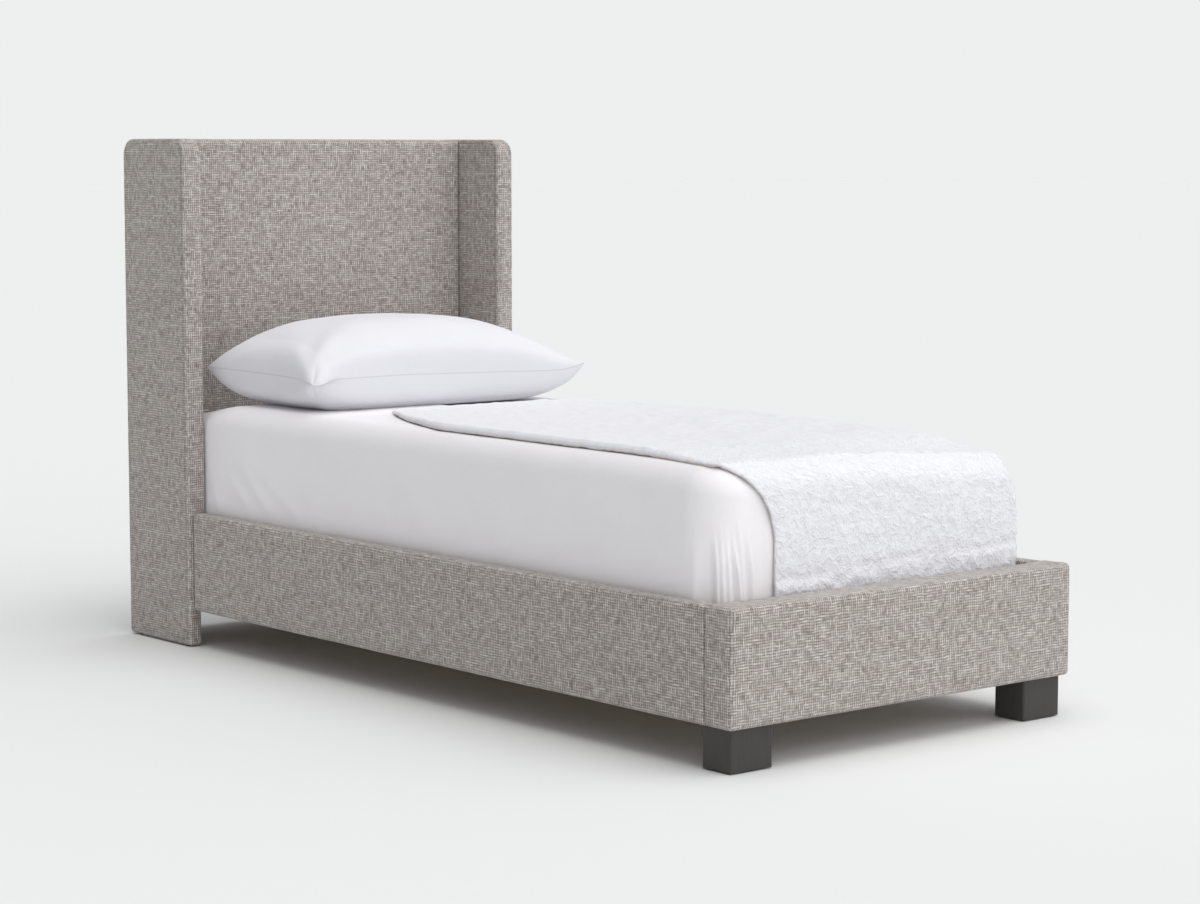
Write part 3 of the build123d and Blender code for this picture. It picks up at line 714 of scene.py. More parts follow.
def make_wing(side, name):
    low, high = box("wing_cover_" + name)
    outer, inner = (low.x, high.x) if side < 0 else (high.x, low.x)
    leg_inner = inner + side * wing_step
    work = block((min(outer, leg_inner), low.y, low.z), (max(outer, leg_inner), high.y, high.z))
    cut(work, (0, 0, rail_bottom), (0, 0, 1))
    inner_side = flat_side(work, 0, -side, leg_inner)
    upper = [face for face in inner_side if face.calc_center_median().z > rail_bottom]
    grown = bmesh.ops.extrude_face_region(work, geom=upper)["geom"]
    bmesh.ops.delete(work, geom=upper, context="FACES")
    moved = [item for item in grown if isinstance(item, bmesh.types.BMVert)]
    bmesh.ops.translate(work, verts=moved, vec=(-side * wing_step, 0, 0))
    bmesh.ops.remove_doubles(work, verts=work.verts[:], dist=0.00001)
    bmesh.ops.recalc_face_normals(work, faces=work.faces[:])
    cut_grid(work, 1, low.y, high.y)
    cut_grid(work, 2, rail_bottom, high.z)
    top_corners = sharp_edges(work, lambda edge: (
        all(vert.co.z > high.z - touching for vert in edge.verts)
        and abs(edge.verts[0].co.x - edge.verts[1].co.x) > touching
    ))
    soften(work, top_corners, wing_corner, wing_corner_segments)
    soften(work, sharp_edges(work), wing_edge, wing_edge_segments)
    for sign, place in ((side, outer), (-side, inner)):
        let_in_seam(work, flat_side(work, 0, sign, place))
    swell(work, low, high, wing_swell)
    upholster("wing_upholstery_" + name, work, "wing_cover_" + name, "wing_padding_" + name)


for side, name in ((-1, "left"), (1, "right")):
    make_wing(side, name)


# %% [markdown]
# ## Headboard panel
#
# The panel stands between the wings. Its front is one smooth, slightly crowned length of cloth,
# and its open back is closed by the lining, which keeps its CAD shape.

# %% Headboard panel
panel_edge = 0.014
panel_gap = 0.002
panel_swell = (0, 0.004, 0.0005)
lining_gap = 0.0003
lining_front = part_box("headboard_back_cloth")[0][1]


def make_panel():
    low, high = box("headboard_cover")
    high.y = lining_front - lining_gap
    low.x, high.x = low.x + panel_gap, high.x - panel_gap
    work = block(low, high)
    cut_grid(work, 0, low.x, high.x)
    cut_grid(work, 2, low.z, high.z)
    front = sharp_edges(work, lambda edge: all(abs(v.co.y - low.y) < touching for v in edge.verts))
    soften(work, front, panel_edge)
    bmesh.ops.inset_region(work, faces=flat_side(work, 1, -1, low.y), thickness=flat_rim)
    swell(work, low, high, panel_swell)
    for vert in work.verts:
        vert.co.y = min(vert.co.y, high.y)
    upholster("headboard_upholstery", work, "headboard_cover", "headboard_foam")


make_panel()

# %% [markdown]
# ## How cloth lies over the mattress
#
# Mattress, sheet and quilt all follow one form: a block with round corners in plan, a soft upper
# edge and a low crown. A flat grid with a skirt is made with bmesh, and each of its points is then
# carried onto that form. A point near the edge goes round a quarter circle, so the cloth keeps its
# length, and each point also gets the direction that faces outwards there, for folds and puckers.

# %% The mattress form
mattress_low, mattress_high = box("mattress_ticking")
half_width = (mattress_high.x - mattress_low.x) / 2
half_run = (mattress_high.y - mattress_low.y) / 2
middle_y = (mattress_high.y + mattress_low.y) / 2
corner_radius = 0.082
edge_radius = 0.061
near_tighter = 0.011
crown = 0.007
near_crown = -0.002
far_sag = {"depth": 0.022, "start": -0.68, "run": 0.32, "from_x": -0.10, "width": 0.50}
head_sag = {"depth": 0.031, "start": 0.74, "run": 0.22, "from_x": 0.05, "width": 0.40}
foot_sag = {"depth": 0.005, "start": -0.77, "run": 0.20}
sag_above = 0.36
print("mattress", [round(value, 3) for value in (*mattress_low, *mattress_high)])


def smooth_step(share):
    """Goes from 0 to 1 with a soft start and a soft end."""
    share = np.clip(share, 0, 1)
    return share ** 2 * (3 - 2 * share)


def edge_round(outward, grown):
    """The radius of the upper edge, which is tighter along the near side than elsewhere."""
    return edge_radius + grown - near_tighter * np.maximum(-outward[:, 0], 0) ** 2


def crown_fall(across):
    """How far the top has fallen from its crown, by the share of the half width from the middle."""
    return np.where(across < 0, near_crown, crown) * np.clip(np.abs(across), 0, 1) ** 2


def over_the_edge(rim, outward, inward, along, grown):
    """Takes cloth round the upper edge.

    Each point has its place on the rim, its direction outwards, its way inwards from the rim and
    its way along the cloth, which is below 0 once it hangs. What comes back is each point's place
    in plan, how far it has fallen, and which way is outwards there."""
    round_edge = edge_round(outward, grown)
    near = along < round_edge
    turn = np.clip((1 - along / round_edge) * math.pi / 4, 0, math.pi / 2)
    inset = np.where(near, round_edge * (1 - np.sin(turn)), inward)
    fall = np.where(near, round_edge * (1 - np.cos(turn)), 0)
    fall = np.where(along < -round_edge, -along, fall)
    out = np.column_stack([outward * np.sin(turn)[:, None], np.cos(turn)])
    return rim - outward * inset[:, None], fall, out


def form_over_mattress(points, grown, bottom):
    """Carries the points of a skirted grid onto the mattress form, grown outwards by an amount.

    The grid lies at the height of the mattress top, and its skirt hangs straight down. What comes
    back is each point's place, and which way is outwards there."""
    top = mattress_high.z + grown
    half = np.array([half_width + grown, half_run + grown])
    round_corner = corner_radius + grown
    flat = points[:, :2] - np.array([0, middle_y])
    sign = np.where(flat < 0, -1.0, 1.0)
    reach = np.abs(flat)
    over = reach - (half - round_corner)
    in_corner = (over > 0).all(axis=1)
    longest = np.maximum(over.max(axis=1), 1e-9)
    length = np.maximum(np.hypot(over[:, 0], over[:, 1]), 1e-9)
    turned = over * (longest / length)[:, None]
    reach = np.where(in_corner[:, None], half - round_corner + turned, reach)
    inward = np.where(in_corner, round_corner - longest, (half - reach).min(axis=1))
    outward = np.zeros_like(flat)
    outward[np.arange(len(flat)), (half - reach).argmin(axis=1)] = 1
    outward = np.where(in_corner[:, None], over / length[:, None], outward) * sign
    below = points[:, 2] - mattress_high.z
    along = np.where(below < -1e-6, below, inward)
    rim = reach * sign + outward * inward[:, None]
    plan, fall, out = over_the_edge(rim, outward, inward, along, grown)
    share = np.clip(1 - fall / (top - bottom), 0, 1)
    height = top - fall - crown_fall(rim[:, 0] / half[0]) * share
    return np.column_stack([plan[:, 0], plan[:, 1] + middle_y, height]), out


def droop(places):
    """Lets the bedding sink at its foot, at the far foot corner and at the near head corner."""
    x, y, z = places.T
    past_foot = smooth_step((foot_sag["start"] - y) / foot_sag["run"])
    far = smooth_step((far_sag["start"] - y) / far_sag["run"])
    far = far * smooth_step((x - far_sag["from_x"]) / far_sag["width"])
    head = smooth_step((y - head_sag["start"]) / head_sag["run"])
    head = head * smooth_step((head_sag["from_x"] - x) / head_sag["width"])
    sunk = far_sag["depth"] * far + head_sag["depth"] * head + foot_sag["depth"] * past_foot
    upper = np.clip((z - sag_above) / (mattress_high.z - sag_above), 0, 1)
    return np.column_stack([x, y, z - sunk * upper])


# %% Points, grids and noise
def read_points(mesh):
    points = np.empty(len(mesh.vertices) * 3)
    mesh.vertices.foreach_get("co", points)
    return points.reshape(-1, 3)


def write_points(mesh, points):
    mesh.vertices.foreach_set("co", np.asarray(points, dtype=float).ravel())
    mesh.update()


def keep_values(mesh, name, pairs):
    """Keeps two values for each point in a UV map, for a finish to read."""
    layer = mesh.uv_layers.new(name=name)
    corners = np.empty(len(mesh.loops), dtype=int)
    mesh.loops.foreach_get("vertex_index", corners)
    layer.data.foreach_set("uv", pairs[corners].ravel())


def extrude_rim(work, rim):
    """Extrudes open edges, and gives the new vertices and the new open edges."""
    grown = bmesh.ops.extrude_edge_only(work, edges=rim)["geom"]
    verts = [item for item in grown if isinstance(item, bmesh.types.BMVert)]
    return verts, [item for item in grown if isinstance(item, bmesh.types.BMEdge)]


def skirted_grid(step, skirt):
    """A flat grid over the mattress plan with a skirt that hangs from its rim."""
    work = bmesh.new()
    across, down = round(2 * half_width / step), round(2 * half_run / step)
    place = Matrix.Translation((0, middle_y, mattress_high.z))
    scale = Matrix.Diagonal((half_width, half_run, 1, 1))
    bmesh.ops.create_grid(work, x_segments=across, y_segments=down, size=1.0, matrix=place @ scale)
    rim = [edge for edge in work.edges if edge.is_boundary]
    rows = max(2, round(skirt / step))
    for row in range(rows):
        verts, rim = extrude_rim(work, rim)
        bmesh.ops.translate(work, verts=verts, vec=(0, 0, -skirt / rows))
    bmesh.ops.recalc_face_normals(work, faces=work.faces[:])
    return work, rim


def soft_noise(points, scale, seed=0.0):
    """Soft noise from -1 to 1 for each point."""
    shift = Vector((seed, seed * 1.7, seed * 0.6))
    return np.array([noise.noise(Vector(point) * scale + shift) for point in points])


def ridge(distance, width):
    """A rounded ridge, 1 on its line and 0 some widths away."""
    return np.exp(-((distance / width) ** 2))


# %% [markdown]
# ## Mattress
#
# The mattress stays hidden at rest and shows from below when it is lifted out. It is the form
# itself, closed underneath, with a raised tape round its lower rim.

# %% Mattress
mattress_step = 0.024
mattress_shrink = 0.001
underside_steps = (0.03, 0.2)
underside_mark = 1.0
underside_gap = 0.0004
tape_height = 0.028
tape_width = 0.006
tape_rise = 0.0006


def make_mattress():
    """The rings of the underside wait far below until the sides are formed, then are drawn in."""
    work, rim = skirted_grid(mattress_step, mattress_high.z - mattress_low.z)
    for step in underside_steps:
        verts, rim = extrude_rim(work, rim)
        for vert in verts:
            vert.co.z = mattress_low.z - underside_mark - step
    bmesh.ops.holes_fill(work, edges=rim)
    piece = make_piece("mattress_body", work, ticking)
    points = read_points(piece.data)
    drawn_in = np.maximum(mattress_low.z - underside_mark - points[:, 2], 0)
    points[:, 2] = np.maximum(points[:, 2], mattress_low.z)
    places, out = form_over_mattress(points, -mattress_shrink, mattress_low.z)
    places[:, :2] -= out[:, :2] * drawn_in[:, None]
    places[:, 2] = np.maximum(places[:, 2], mattress_low.z + underside_gap)
    places = droop(places)
    tape = ridge(places[:, 2] - mattress_low.z - tape_height, tape_width)
    write_points(piece.data, places - out * (tape_rise * (1 - tape))[:, None])
    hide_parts("mattress_core", "mattress_ticking")
    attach(piece, "mattress_and_covers")


make_mattress()

# %% [markdown]
# ## Fitted sheet
#
# The sheet is drawn tight over the top and goes down between mattress and rails. At the two foot
# corners its spare cloth hangs in upright folds, and near the head the pull of the tucked corner
# shows as a few slanting creases.

# %% Fitted sheet
sheet_step = 0.0095
sheet_grown = 0.0012
sheet_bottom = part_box("fitted_sheet")[0][2]
near_folds = (
    (0.028, 0.012, 0.0035, 0.00), (0.0740, 0.0075, 0.0115, 0.03), (0.0850, 0.0090, 0.0125, 0.04),
    (0.0955, 0.0070, 0.0105, 0.05), (0.1162, 0.0056, 0.0115, 0.10), (0.127, 0.0045, 0.0060, 0.08),
    (0.149, 0.0052, 0.0090, 0.06), (0.166, 0.013, 0.0040, 0.02),
)
far_folds = ((0.05, 0.008, 0.0050, 0.05), (0.09, 0.010, 0.0040, 0.03))
fold_corner = (-0.24, -0.90, 0.56)
fold_run = 0.3
fold_top = 0.49
fold_top_varies = 0.05
fold_opening = 0.6
fold_sway = 0.0025
lean_from = 0.35
head_creases = (
    ((0.78, 0.47), (0.66, 0.37), 0.0026, 0.011),
    ((0.76, 0.53), (0.56, 0.36), 0.0024, 0.014),
    ((0.70, 0.50), (0.44, 0.36), 0.0020, 0.016),
    ((0.82, 0.44), (0.78, 0.34), 0.0028, 0.009),
)
side_wave = 0.0016
sheet_ripple = 0.0006
sheet_clear = 0.0004


def round_the_corner(places, side):
    """How far each point lies round a foot corner, from where the long side starts to turn."""
    centre_x, centre_y = half_width - corner_radius, mattress_low.y + corner_radius
    beside, ahead = places[:, 0] * side - centre_x, centre_y - places[:, 1]
    radius = corner_radius + sheet_grown
    turned = np.arctan2(np.maximum(ahead, 0), np.maximum(beside, 1e-9)) * radius
    reach = np.where(beside < 0, math.pi / 2 * radius - beside, turned)
    return np.where(ahead < 0, ahead, reach)


def corner_folds(places, side, folds):
    """Upright folds round a foot corner, each with its place, width, rise and lean."""
    at_foot = (places[:, 1] < mattress_low.y + fold_run) & (places[:, 0] * side > 0)
    reach = round_the_corner(places, side)
    lift = np.zeros(len(places))
    for place, width, rise, lean in folds:
        start = fold_top + fold_top_varies * noise.noise(Vector((place * 90, 0, 0)))
        opened = smooth_step((start - places[:, 2]) / (fold_opening * (start - sheet_bottom)))
        sway = fold_sway * soft_noise(places * (0, 0, 1), 14.0, place * 50)
        leaned = place - lean * np.clip(places[:, 2] - lean_from, -0.05, 0.2) + sway
        lift = np.maximum(lift, rise * opened * ridge(reach - leaned, width))
    return np.where(at_foot, lift, 0)


def side_creases(places, side):
    """Slanting creases on one long side, each from its upper to its lower end in Y and Z."""
    lift = np.zeros(len(places))
    for start, end, rise, width in head_creases:
        run = np.array(end) - start
        from_start = places[:, 1:] - start
        share = (from_start @ run) / (run @ run)
        beside = from_start - np.clip(share, 0, 1)[:, None] * run
        lift += rise * ridge(np.hypot(*beside.T), width) * np.clip(share * 1.3, 0, 1)
    return np.where(places[:, 0] * side > half_width - 0.02, lift, 0)


def refine(work, wanted, cuts):
    """Divides the faces whose middle is wanted, so that small folds find enough points there."""
    faces = [face for face in work.faces if wanted(face.calc_center_median())]
    edges = list({edge for face in faces for edge in face.edges})
    bmesh.ops.subdivide_edges(work, edges=edges, cuts=cuts, use_grid_fill=True)


def make_sheet():
    work, _ = skirted_grid(sheet_step, mattress_high.z - sheet_bottom)
    refine(work, lambda middle: all(middle[axis] < fold_corner[axis] for axis in range(3)), 2)
    piece = make_piece("fitted_sheet_cloth", work, sheet_cotton)
    mesh = piece.data
    places, out = form_over_mattress(read_points(mesh), sheet_grown, sheet_bottom)
    lift = corner_folds(places, -1, near_folds) + corner_folds(places, 1, far_folds)
    lift += side_creases(places, -1) + side_creases(places, 1)
    on_side = np.clip((mattress_high.z - 0.05 - places[:, 2]) / 0.08, 0, 1)
    lift += side_wave * on_side * (soft_noise(places, 5.0, 3.0) + 0.5)
    lift += sheet_ripple * soft_noise(places, 14.0, 8.0) + sheet_clear
    write_points(mesh, droop(places + out * np.maximum(lift, 0)[:, None]))
    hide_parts("fitted_sheet")
    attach(piece, "mattress_and_covers")


make_sheet()

# %% [markdown]
# ## Quilt
#
# The quilt lies over the foot half of the bed, stops just short of the near edge, turns down over
# the foot and is tucked in behind the footboard. Its head corners are rounded off, its near edge
# runs inwards as it goes down, and a narrow binding follows the whole rim.

# %% Quilt
quilt_step = 0.0075
quilt_thickness = 0.0085
cloth_thickness = 0.0050
quilt_low, quilt_high = box("quilt")
quilt_head_round = (0.20, 0.45)
quilt_far_round = (0.06, 0.06)
quilt_corner = 0.045
quilt_grown = 0.0026 + quilt_thickness
quilt_drop = mattress_high.z - quilt_low.z
quilt_taper = 0.115
taper_start = -0.955
taper_run = 0.24
far_pull = 0.030
near_rise = 0.009
near_run = 0.20
edge_dip = 0.0035
edge_width = 0.004
quilt_loft = 0.008
pucker_depth = 0.0022
pucker_scale = 24
pucker_seed = 4
waves = ((0.0022, 8.0, 5.0), (0.0008, 19.0, 1.0))
hem_low_z = 0.332
hem_high_z = 0.352
hem_roll_depth = 0.0035
hem_crease_depth = 0.0025
hem_crumple_depth = 0.0028


def quilt_grid():
    """The flat quilt: a grid as long as its part on top and its drop together."""
    work = bmesh.new()
    run = quilt_high.y - (mattress_low.y - quilt_grown) + quilt_drop
    width = quilt_high.x - quilt_low.x
    middle = ((quilt_low.x + quilt_high.x) / 2, quilt_high.y - run / 2, 0)
    scale = Matrix.Diagonal((width / 2, run / 2, 1, 1))
    bmesh.ops.create_grid(
        work, x_segments=round(width / quilt_step), y_segments=round(run / quilt_step),
        size=1.0, matrix=Matrix.Translation(middle) @ scale,
    )
    return work, width, run


def round_off(points, corner, centre_sign, radii, power):
    """Draws the square corner of a grid in to a round one."""
    centre = np.array(corner) - np.array(centre_sign) * radii
    over = (points[:, :2] - centre) * centre_sign / radii
    inside = (over > 0).all(axis=1)
    longest = np.maximum(over.max(axis=1), 1e-9)
    length = np.maximum((np.maximum(over, 0) ** power).sum(axis=1), 1e-9) ** (1 / power)
    turned = centre + over * (longest / length)[:, None] * centre_sign * radii
    points[:, :2] = np.where(inside[:, None], turned, points[:, :2])
    return points


def lay_quilt(flat):
    """Keeps what lies past the foot edge on the rim, and gives how far past it each point is."""
    half_x, half_y = half_width + quilt_grown, half_run + quilt_grown
    beside = np.clip(np.abs(flat[:, 0]) - (half_x - quilt_corner), 0, quilt_corner * 0.999)
    rim_y = middle_y - half_y + quilt_corner - np.sqrt(quilt_corner ** 2 - beside ** 2)
    plan = np.column_stack([flat[:, 0], np.maximum(flat[:, 1], rim_y)])
    return plan, np.maximum(rim_y - flat[:, 1], 0)


def form_quilt(plan, past):
    """The form for cloth that hangs only over the foot, with no skirt at its sides."""
    centre_x = half_width + quilt_grown - quilt_corner
    centre_y = mattress_low.y - quilt_grown + quilt_corner
    over_x = np.maximum(np.abs(plan[:, 0]) - centre_x, 0) * np.sign(plan[:, 0])
    over_y = np.minimum(plan[:, 1] - centre_y, 0)
    length = np.maximum(np.hypot(over_x, over_y), 1e-9)
    at_foot = plan[:, 1] < centre_y
    round_foot = np.column_stack([over_x, over_y]) / length[:, None]
    to_side = np.column_stack([np.sign(over_x + 1e-12), over_y * 0])
    outward = np.where(at_foot[:, None], round_foot, to_side)
    from_side = half_width + quilt_grown - np.abs(plan[:, 0])
    inward = np.where(at_foot, quilt_corner - length, from_side)
    along = np.where(past > 0, -past, inward)
    rim = plan + outward * inward[:, None]
    plan, fall, out = over_the_edge(rim, outward, inward, along, quilt_grown)
    shoulder = crown_fall(plan[:, 0] / half_width) * np.clip(1 - fall / quilt_drop, 0, 1)
    return np.column_stack([plan, mattress_high.z + quilt_grown - fall - shoulder]), out


# %% Puckers, hem and the making of the quilt
def puckers(flat):
    """How far the stitched cloth stands out: small pillows between wandering rows of stitches.

    The drift of those rows comes from the seed, and is the same in every run."""
    noise.seed_set(pucker_seed)
    apart = np.empty(len(flat))
    for turn, (x, y, _) in enumerate(flat):
        drift = noise.noise_vector(Vector((x * 9, y * 9, 1.0))) * 1.2
        place = Vector((x * pucker_scale + drift.x, y * pucker_scale + drift.y, 0.0))
        nearest, second = noise.voronoi(place, distance_metric="DISTANCE")[0][:2]
        apart[turn] = second - nearest
    return smooth_step(apart * 1.6)


def hem_roll(places, flat):
    """The roll that bunches up above the footboard, with a crease over it and crumples along it."""
    rise = hem_low_z + (hem_high_z - hem_low_z) * np.clip((places[:, 0] + 0.30) / 0.45, 0, 1)
    above = places[:, 2] - rise - 0.010 * soft_noise(flat * (1, 0, 0), 9.0, 2.0)
    shown = np.clip(0.55 + 1.1 * soft_noise(flat * (1, 0.2, 0), 13.0, 6.0), 0, 1)
    roll = hem_roll_depth * ridge(above, 0.015) * shown
    crease = hem_crease_depth * ridge(above - 0.021, 0.007) * shown
    low_down = np.clip((0.40 - places[:, 2]) / 0.05, 0, 1)
    return roll - crease + hem_crumple_depth * soft_noise(flat, 42.0, 7.0) * low_down


def draw_in(plan, flat, width):
    """Lets the near edge run inwards on its way down, and pulls the far foot corner in."""
    from_far = (quilt_high.x - plan[:, 0]) / width
    turned_in = np.sin(math.pi / 2 * np.clip((taper_start - flat[:, 1]) / taper_run, 0, 1)) ** 1.5
    plan[:, 0] += quilt_taper * turned_in * from_far
    at_edge = ridge(mattress_low.y - quilt_grown - flat[:, 1] - 0.01, 0.075)
    plan[:, 0] -= far_pull * at_edge * np.clip((flat[:, 0] - 0.25) / 0.17, 0, 1) ** 1.5


def make_quilt():
    work, width, run = quilt_grid()
    piece = make_piece("quilt_cloth", work, quilt_cotton)
    mesh = piece.data
    flat = read_points(mesh)
    to_rim = np.minimum(flat[:, 0] - quilt_low.x, quilt_high.y - flat[:, 1])
    flat = round_off(flat, (quilt_low.x, quilt_high.y), (-1, 1), quilt_head_round, 1.25)
    flat = round_off(flat, (quilt_high.x, quilt_high.y), (1, 1), quilt_far_round, 2)
    keep_values(mesh, "cloth", flat[:, :2])
    plan, past = lay_quilt(flat)
    draw_in(plan, flat, width)
    places, out = form_quilt(plan, past)
    worked = 0.35 + 0.65 * np.clip((past + 0.35) / 0.45, 0, 1)
    lift = pucker_depth * (puckers(flat) - 0.6) * worked
    for depth, scale, seed in waves:
        lift += depth * soft_noise(flat, scale, seed)
    lift += hem_roll(places, flat) * (past > 0.1)
    near_side = np.clip((near_run - (flat[:, 0] - quilt_low.x)) / near_run, 0, 1)
    rise = near_rise * near_side * smooth_step((flat[:, 1] + 1.00) / 0.30)
    lift += rise - (edge_dip + rise) * ridge(to_rim, edge_width) * (past < 0.01)
    lift += quilt_loft * ridge(flat[:, 1] + 0.25, 0.35) * np.clip(flat[:, 0] / 0.4, 0, 1)
    write_points(mesh, droop(places + out * lift[:, None]))
    # The rim gets the binding, whose darker beige is painted shade.
    mesh.materials.append(binding_with_painted_shade)
    solid = piece.modifiers.new("thickness", "SOLIDIFY")
    solid.thickness = cloth_thickness
    solid.offset = -1
    solid.material_offset_rim = 1
    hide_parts("quilt")
    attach(piece, "mattress_and_covers")


make_quilt()

# %% [markdown]
# ## Pillow
#
# A pillow is a flat bag, sewn round its rim and stuffed. Stuffing draws its sides in and leaves
# the corners standing out as points. It is steep near the seam, flat underneath, and creases run
# in from the corners. The corner towards the camera is folded over into a small ear.

# %% Pillow
case_low, case_high = box("pillowcase")
case_half = (case_high - case_low) / 2
case_middle = (case_high + case_low) / 2
pillow_step = 0.006
layer_apart = 0.001
seam_z = 0.679
side_draw = 0.020
belly = 0.007
belly_reach = 0.14
upper_power = (3.0, 0.48)
right_power = (2.2, 0.68)
under_power = (4.6, 0.42)
upper_fill = 1.05
under_fill = 1.15
softness = 0.004
crease_depth = 0.0040
tilt_back = 0.004
tip_rise = 0.006
seam_sag = 0.010
near_round = (0.045, 0.035)
ear_corner = Vector((-0.392, 0.436))
ear_draw = 0.013
ear_out = 0.016


def flat_bag():
    """Two flat layers joined round their rim, each a little off the middle."""
    work = bmesh.new()
    across, along = round(2 * case_half.x / pillow_step), round(2 * case_half.y / pillow_step)
    bmesh.ops.create_grid(work, x_segments=across, y_segments=along, size=1.0)
    upper = work.faces[:]
    copied = bmesh.ops.duplicate(work, geom=work.verts[:] + work.edges[:] + upper)
    under = [item for item in copied["geom"] if isinstance(item, bmesh.types.BMFace)]
    bmesh.ops.reverse_faces(work, faces=under)
    for faces, height in ((upper, layer_apart), (under, -layer_apart)):
        for vert in {vert for face in faces for vert in face.verts}:
            vert.co.z = height
    rim = {vert for edge in work.edges if edge.is_boundary for vert in edge.verts}
    for vert in rim:
        vert.co.z = 0
    bmesh.ops.remove_doubles(work, verts=list(rim), dist=1e-6)
    return work


def stuffed(share):
    """The height of each point of the bag, from 0 at its rim to 1 in its middle."""
    upper = share[:, 2:] >= 0
    power = np.where(upper, [[upper_power[0]] * 2], under_power[0])
    root = np.where(upper, [[upper_power[1]] * 2], under_power[1])
    to_right = (share[:, 2] >= 0) & (share[:, 0] > 0)
    power[to_right, 0], root[to_right, 0] = right_power
    slope = np.maximum(1 - np.abs(share[:, :2]) ** power, 0) ** root
    return slope[:, 0] * slope[:, 1]


def drawn_side(share, other):
    """How far stuffing moves a point sideways: in at the rim, and out just inside the rim."""
    inside = np.abs(share)
    drawn = side_draw * (1 - other ** 2) * inside ** 3
    out = belly * np.sin(math.pi * np.clip((1 - inside) / belly_reach, 0, 1)) * (1 - other ** 4)
    return (out - drawn) * np.sign(share)


def corner_creases(share):
    """Creases that run in from each corner and die away towards the middle."""
    lift = np.zeros(len(share))
    for turn, (right, back) in enumerate(((-1, -1), (1, -1), (-1, 1), (1, 1))):
        across = (right - share[:, 0]) * right * case_half.x
        along = (back - share[:, 1]) * back * case_half.y
        reach = np.hypot(across, along)
        angle = np.arctan2(along, across)
        wave = np.cos(angle * (9 + 2 * turn) + turn * 1.9 + 5 * reach)
        lift += crease_depth * wave * np.clip(reach / 0.11, 0, 1) ** 2 * ridge(reach, 0.19)
    return lift


def folded_ear(places, side):
    """Draws the cloth under the near corner in, so that the corner above it is left as an ear."""
    along = places[:, 0] - ear_corner.x
    reach = np.hypot(along, places[:, 1] - ear_corner.y)
    under = np.clip((seam_z + 0.002 - places[:, 2]) / 0.006, 0, 1) * (side < 0)
    drawn = ear_draw * under * ridge(reach, 0.055) * np.clip(along / 0.02 + 0.6, 0, 1)
    out = ear_out * ridge(reach, 0.034) * (side >= 0)
    return np.column_stack([drawn * 0.5 - out * 0.5, drawn - out, -out * 0.8])


def make_pillow():
    """Packs the lines of the bag closer near its rim, where it turns fast, and stuffs it."""
    piece = make_piece("pillowcase_cloth", flat_bag(), case_cotton)
    share = read_points(piece.data)
    share[:, :2] = np.sin(share[:, :2] * math.pi / 2)
    side = np.sign(share[:, 2])
    height = stuffed(share)
    u, v = share[:, 0], share[:, 1]
    x = u * case_half.x + drawn_side(u, v)
    y = v * case_half.y + drawn_side(v, u) + case_middle.y
    places = np.column_stack([x, y, 0 * u])
    crease = corner_creases(share) * np.clip(height * 4, 0, 1)
    soft = softness * soft_noise(places, 9.0, 4.0) * height
    over = (case_high.z - seam_z) * upper_fill * height + crease + soft
    below = (seam_z - case_low.z) * under_fill * height + crease * 0.5
    rise = np.where(side >= 0, over, -below)
    tip = np.clip((u - 0.80) / 0.20, 0, 1) ** 2
    tilt = tilt_back * v + tip_rise * tip - seam_sag * np.clip(u + 0.3, 0, 1) * (1 - tip)
    places[:, 2] = np.maximum(seam_z + tilt * (1 - height) + rise, case_low.z)
    places = round_off(places, (case_low.x, case_low.y), (-1, -1), near_round, 2)
    places += folded_ear(places, side)
    write_points(piece.data, places)
    keep_values(piece.data, "seam", np.abs(np.column_stack([rise, rise])))
    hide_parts("pillowcase", "pillow")
    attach(piece, "pillow_in_case")


make_pillow()

# %% [markdown]
# ## Finishes for the parts that keep their CAD shape
#
# Feet, pads, slats, cleats, boards, plates and screws are right as they are. Each gets the finish
# of the real thing, with the grain of the wood along its length.


# %% Finishes of CAD nodes
def pairs(*names):
    return [name + side for name in names for side in ("_left", "_right")]


finish_nodes = {
    lacquer: pairs("foot"),
    felt: ["foot_pads"],
    plastic: ["wing_glides"],
    lining: ["headboard_back_cloth"],
    tape: pairs("slat_strap"),
    pine_across: [
        "slats", "headboard_crossbar_bottom", "headboard_crossbar_middle",
        "headboard_crossbar_top", "footboard_top_batten", "footboard_bottom_batten",
    ],
    pine_along: pairs("rail_cleat", "wing_cleat"),
    pine_upright: pairs("headboard_stile", "footboard_end_block"),
    board: [
        "headboard_face_board", "headboard_back_board", *pairs("wing_board", "rail_board"),
        "footboard_front_panel", "footboard_back_panel",
    ],
    zinc: [
        *pairs("head_plate", "foot_bracket"), "plate_bolts", "wing_bolts", "foot_bolts",
        "cleat_screws", "slat_screws",
    ],
}
for material, names in finish_nodes.items():
    for name in names:
        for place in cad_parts[name].material_slots:
            place.material = material
print("finished nodes", sum(len(names) for names in finish_nodes.values()))

# %% [markdown]
# ## Floor, world and light
#
# The bed stands on a plain pale floor that runs on without a line into a plain pale background.
# The light is soft: a sky that is brightest in front of the foot end and beyond the right side, so
# that the near side lies in its own shade, and one broad lamp overhead. The camera, and whatever
# mirrors the world, sees the background's colour in place of that sky.

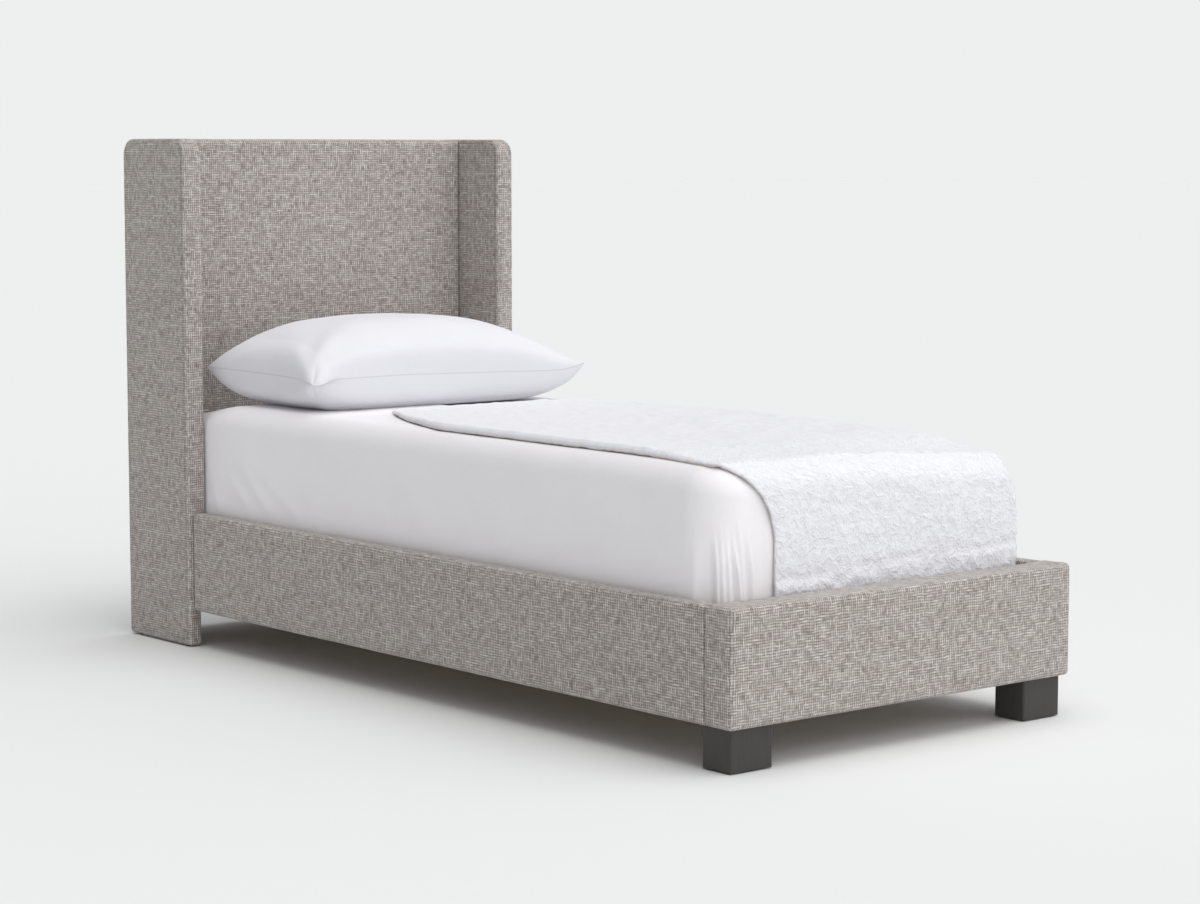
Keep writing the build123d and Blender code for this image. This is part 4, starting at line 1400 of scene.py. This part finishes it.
# %% Floor
background_tone = srgb(238, 239, 239)
floor_tone = srgb(233, 234, 234)
floor_size = 160.0


def floor_finish():
    recipe = Recipe("floor")
    grain = recipe.cloud(recipe.object_place(), 0.8, 2.0)
    shade = recipe.blend(grain, darker(floor_tone, 0.996), floor_tone)
    return recipe.finish(Base_Color=shade, Roughness=1.0, Specular_IOR_Level=0.0)


floor_work = bmesh.new()
bmesh.ops.create_grid(floor_work, x_segments=8, y_segments=8, size=floor_size / 2)
floor = make_piece("floor", floor_work, floor_finish())

# %% World
sky_level = 0.78
sky_slope = (0.32, -0.58, -0.20)
sky_least = 0.02


def make_world():
    """A plain backdrop for the eye and for metal, and a sky brightest in front for the rest."""
    world = bpy.data.worlds.new("world")
    world.use_nodes = True
    bpy.context.scene.world = world
    air = Nodes(world.node_tree)
    air.tree.nodes.clear()
    direction = air.node("TexCoord", {}, {}, "Generated")
    sockets = {"Vector": direction, "Vector_001": sky_slope}
    slope = air.node("VectorMath", {"operation": "DOT_PRODUCT"}, sockets, "Value")
    level = (slope + sky_level).at_least(sky_least)
    sky = air.node("Background", {}, {"Color": (1, 1, 1), "Strength": level})
    backdrop = air.node("Background", {}, {"Color": background_tone})
    seen = air.node("LightPath", {}, {}, "Is Camera Ray")
    for ray in ("Is Glossy Ray", "Is Transmission Ray"):
        seen = seen.at_least(air.node("LightPath", {}, {}, ray))
    choice = air.node("MixShader", {}, {"Fac": seen, "Shader": sky, "Shader_001": backdrop})
    air.node("OutputWorld", {}, {"Surface": choice})
    print("world", len(air.tree.nodes), "nodes")


make_world()

# %% Lamp
lamp_strength = 1.28
lamp_softness = 60.0
lamp_direction = Vector((0.05, -0.12, 0.99))

lamp_data = bpy.data.lights.new("top_lamp", "SUN")
lamp_data.energy = lamp_strength
lamp_data.angle = math.radians(lamp_softness)
lamp = bpy.data.objects.new("top_lamp", lamp_data)
lamp.rotation_euler = lamp_direction.to_track_quat("Z", "Y").to_euler()
bpy.context.scene.collection.objects.link(lamp)
print("lamp from", tuple(round(value, 2) for value in lamp_direction))
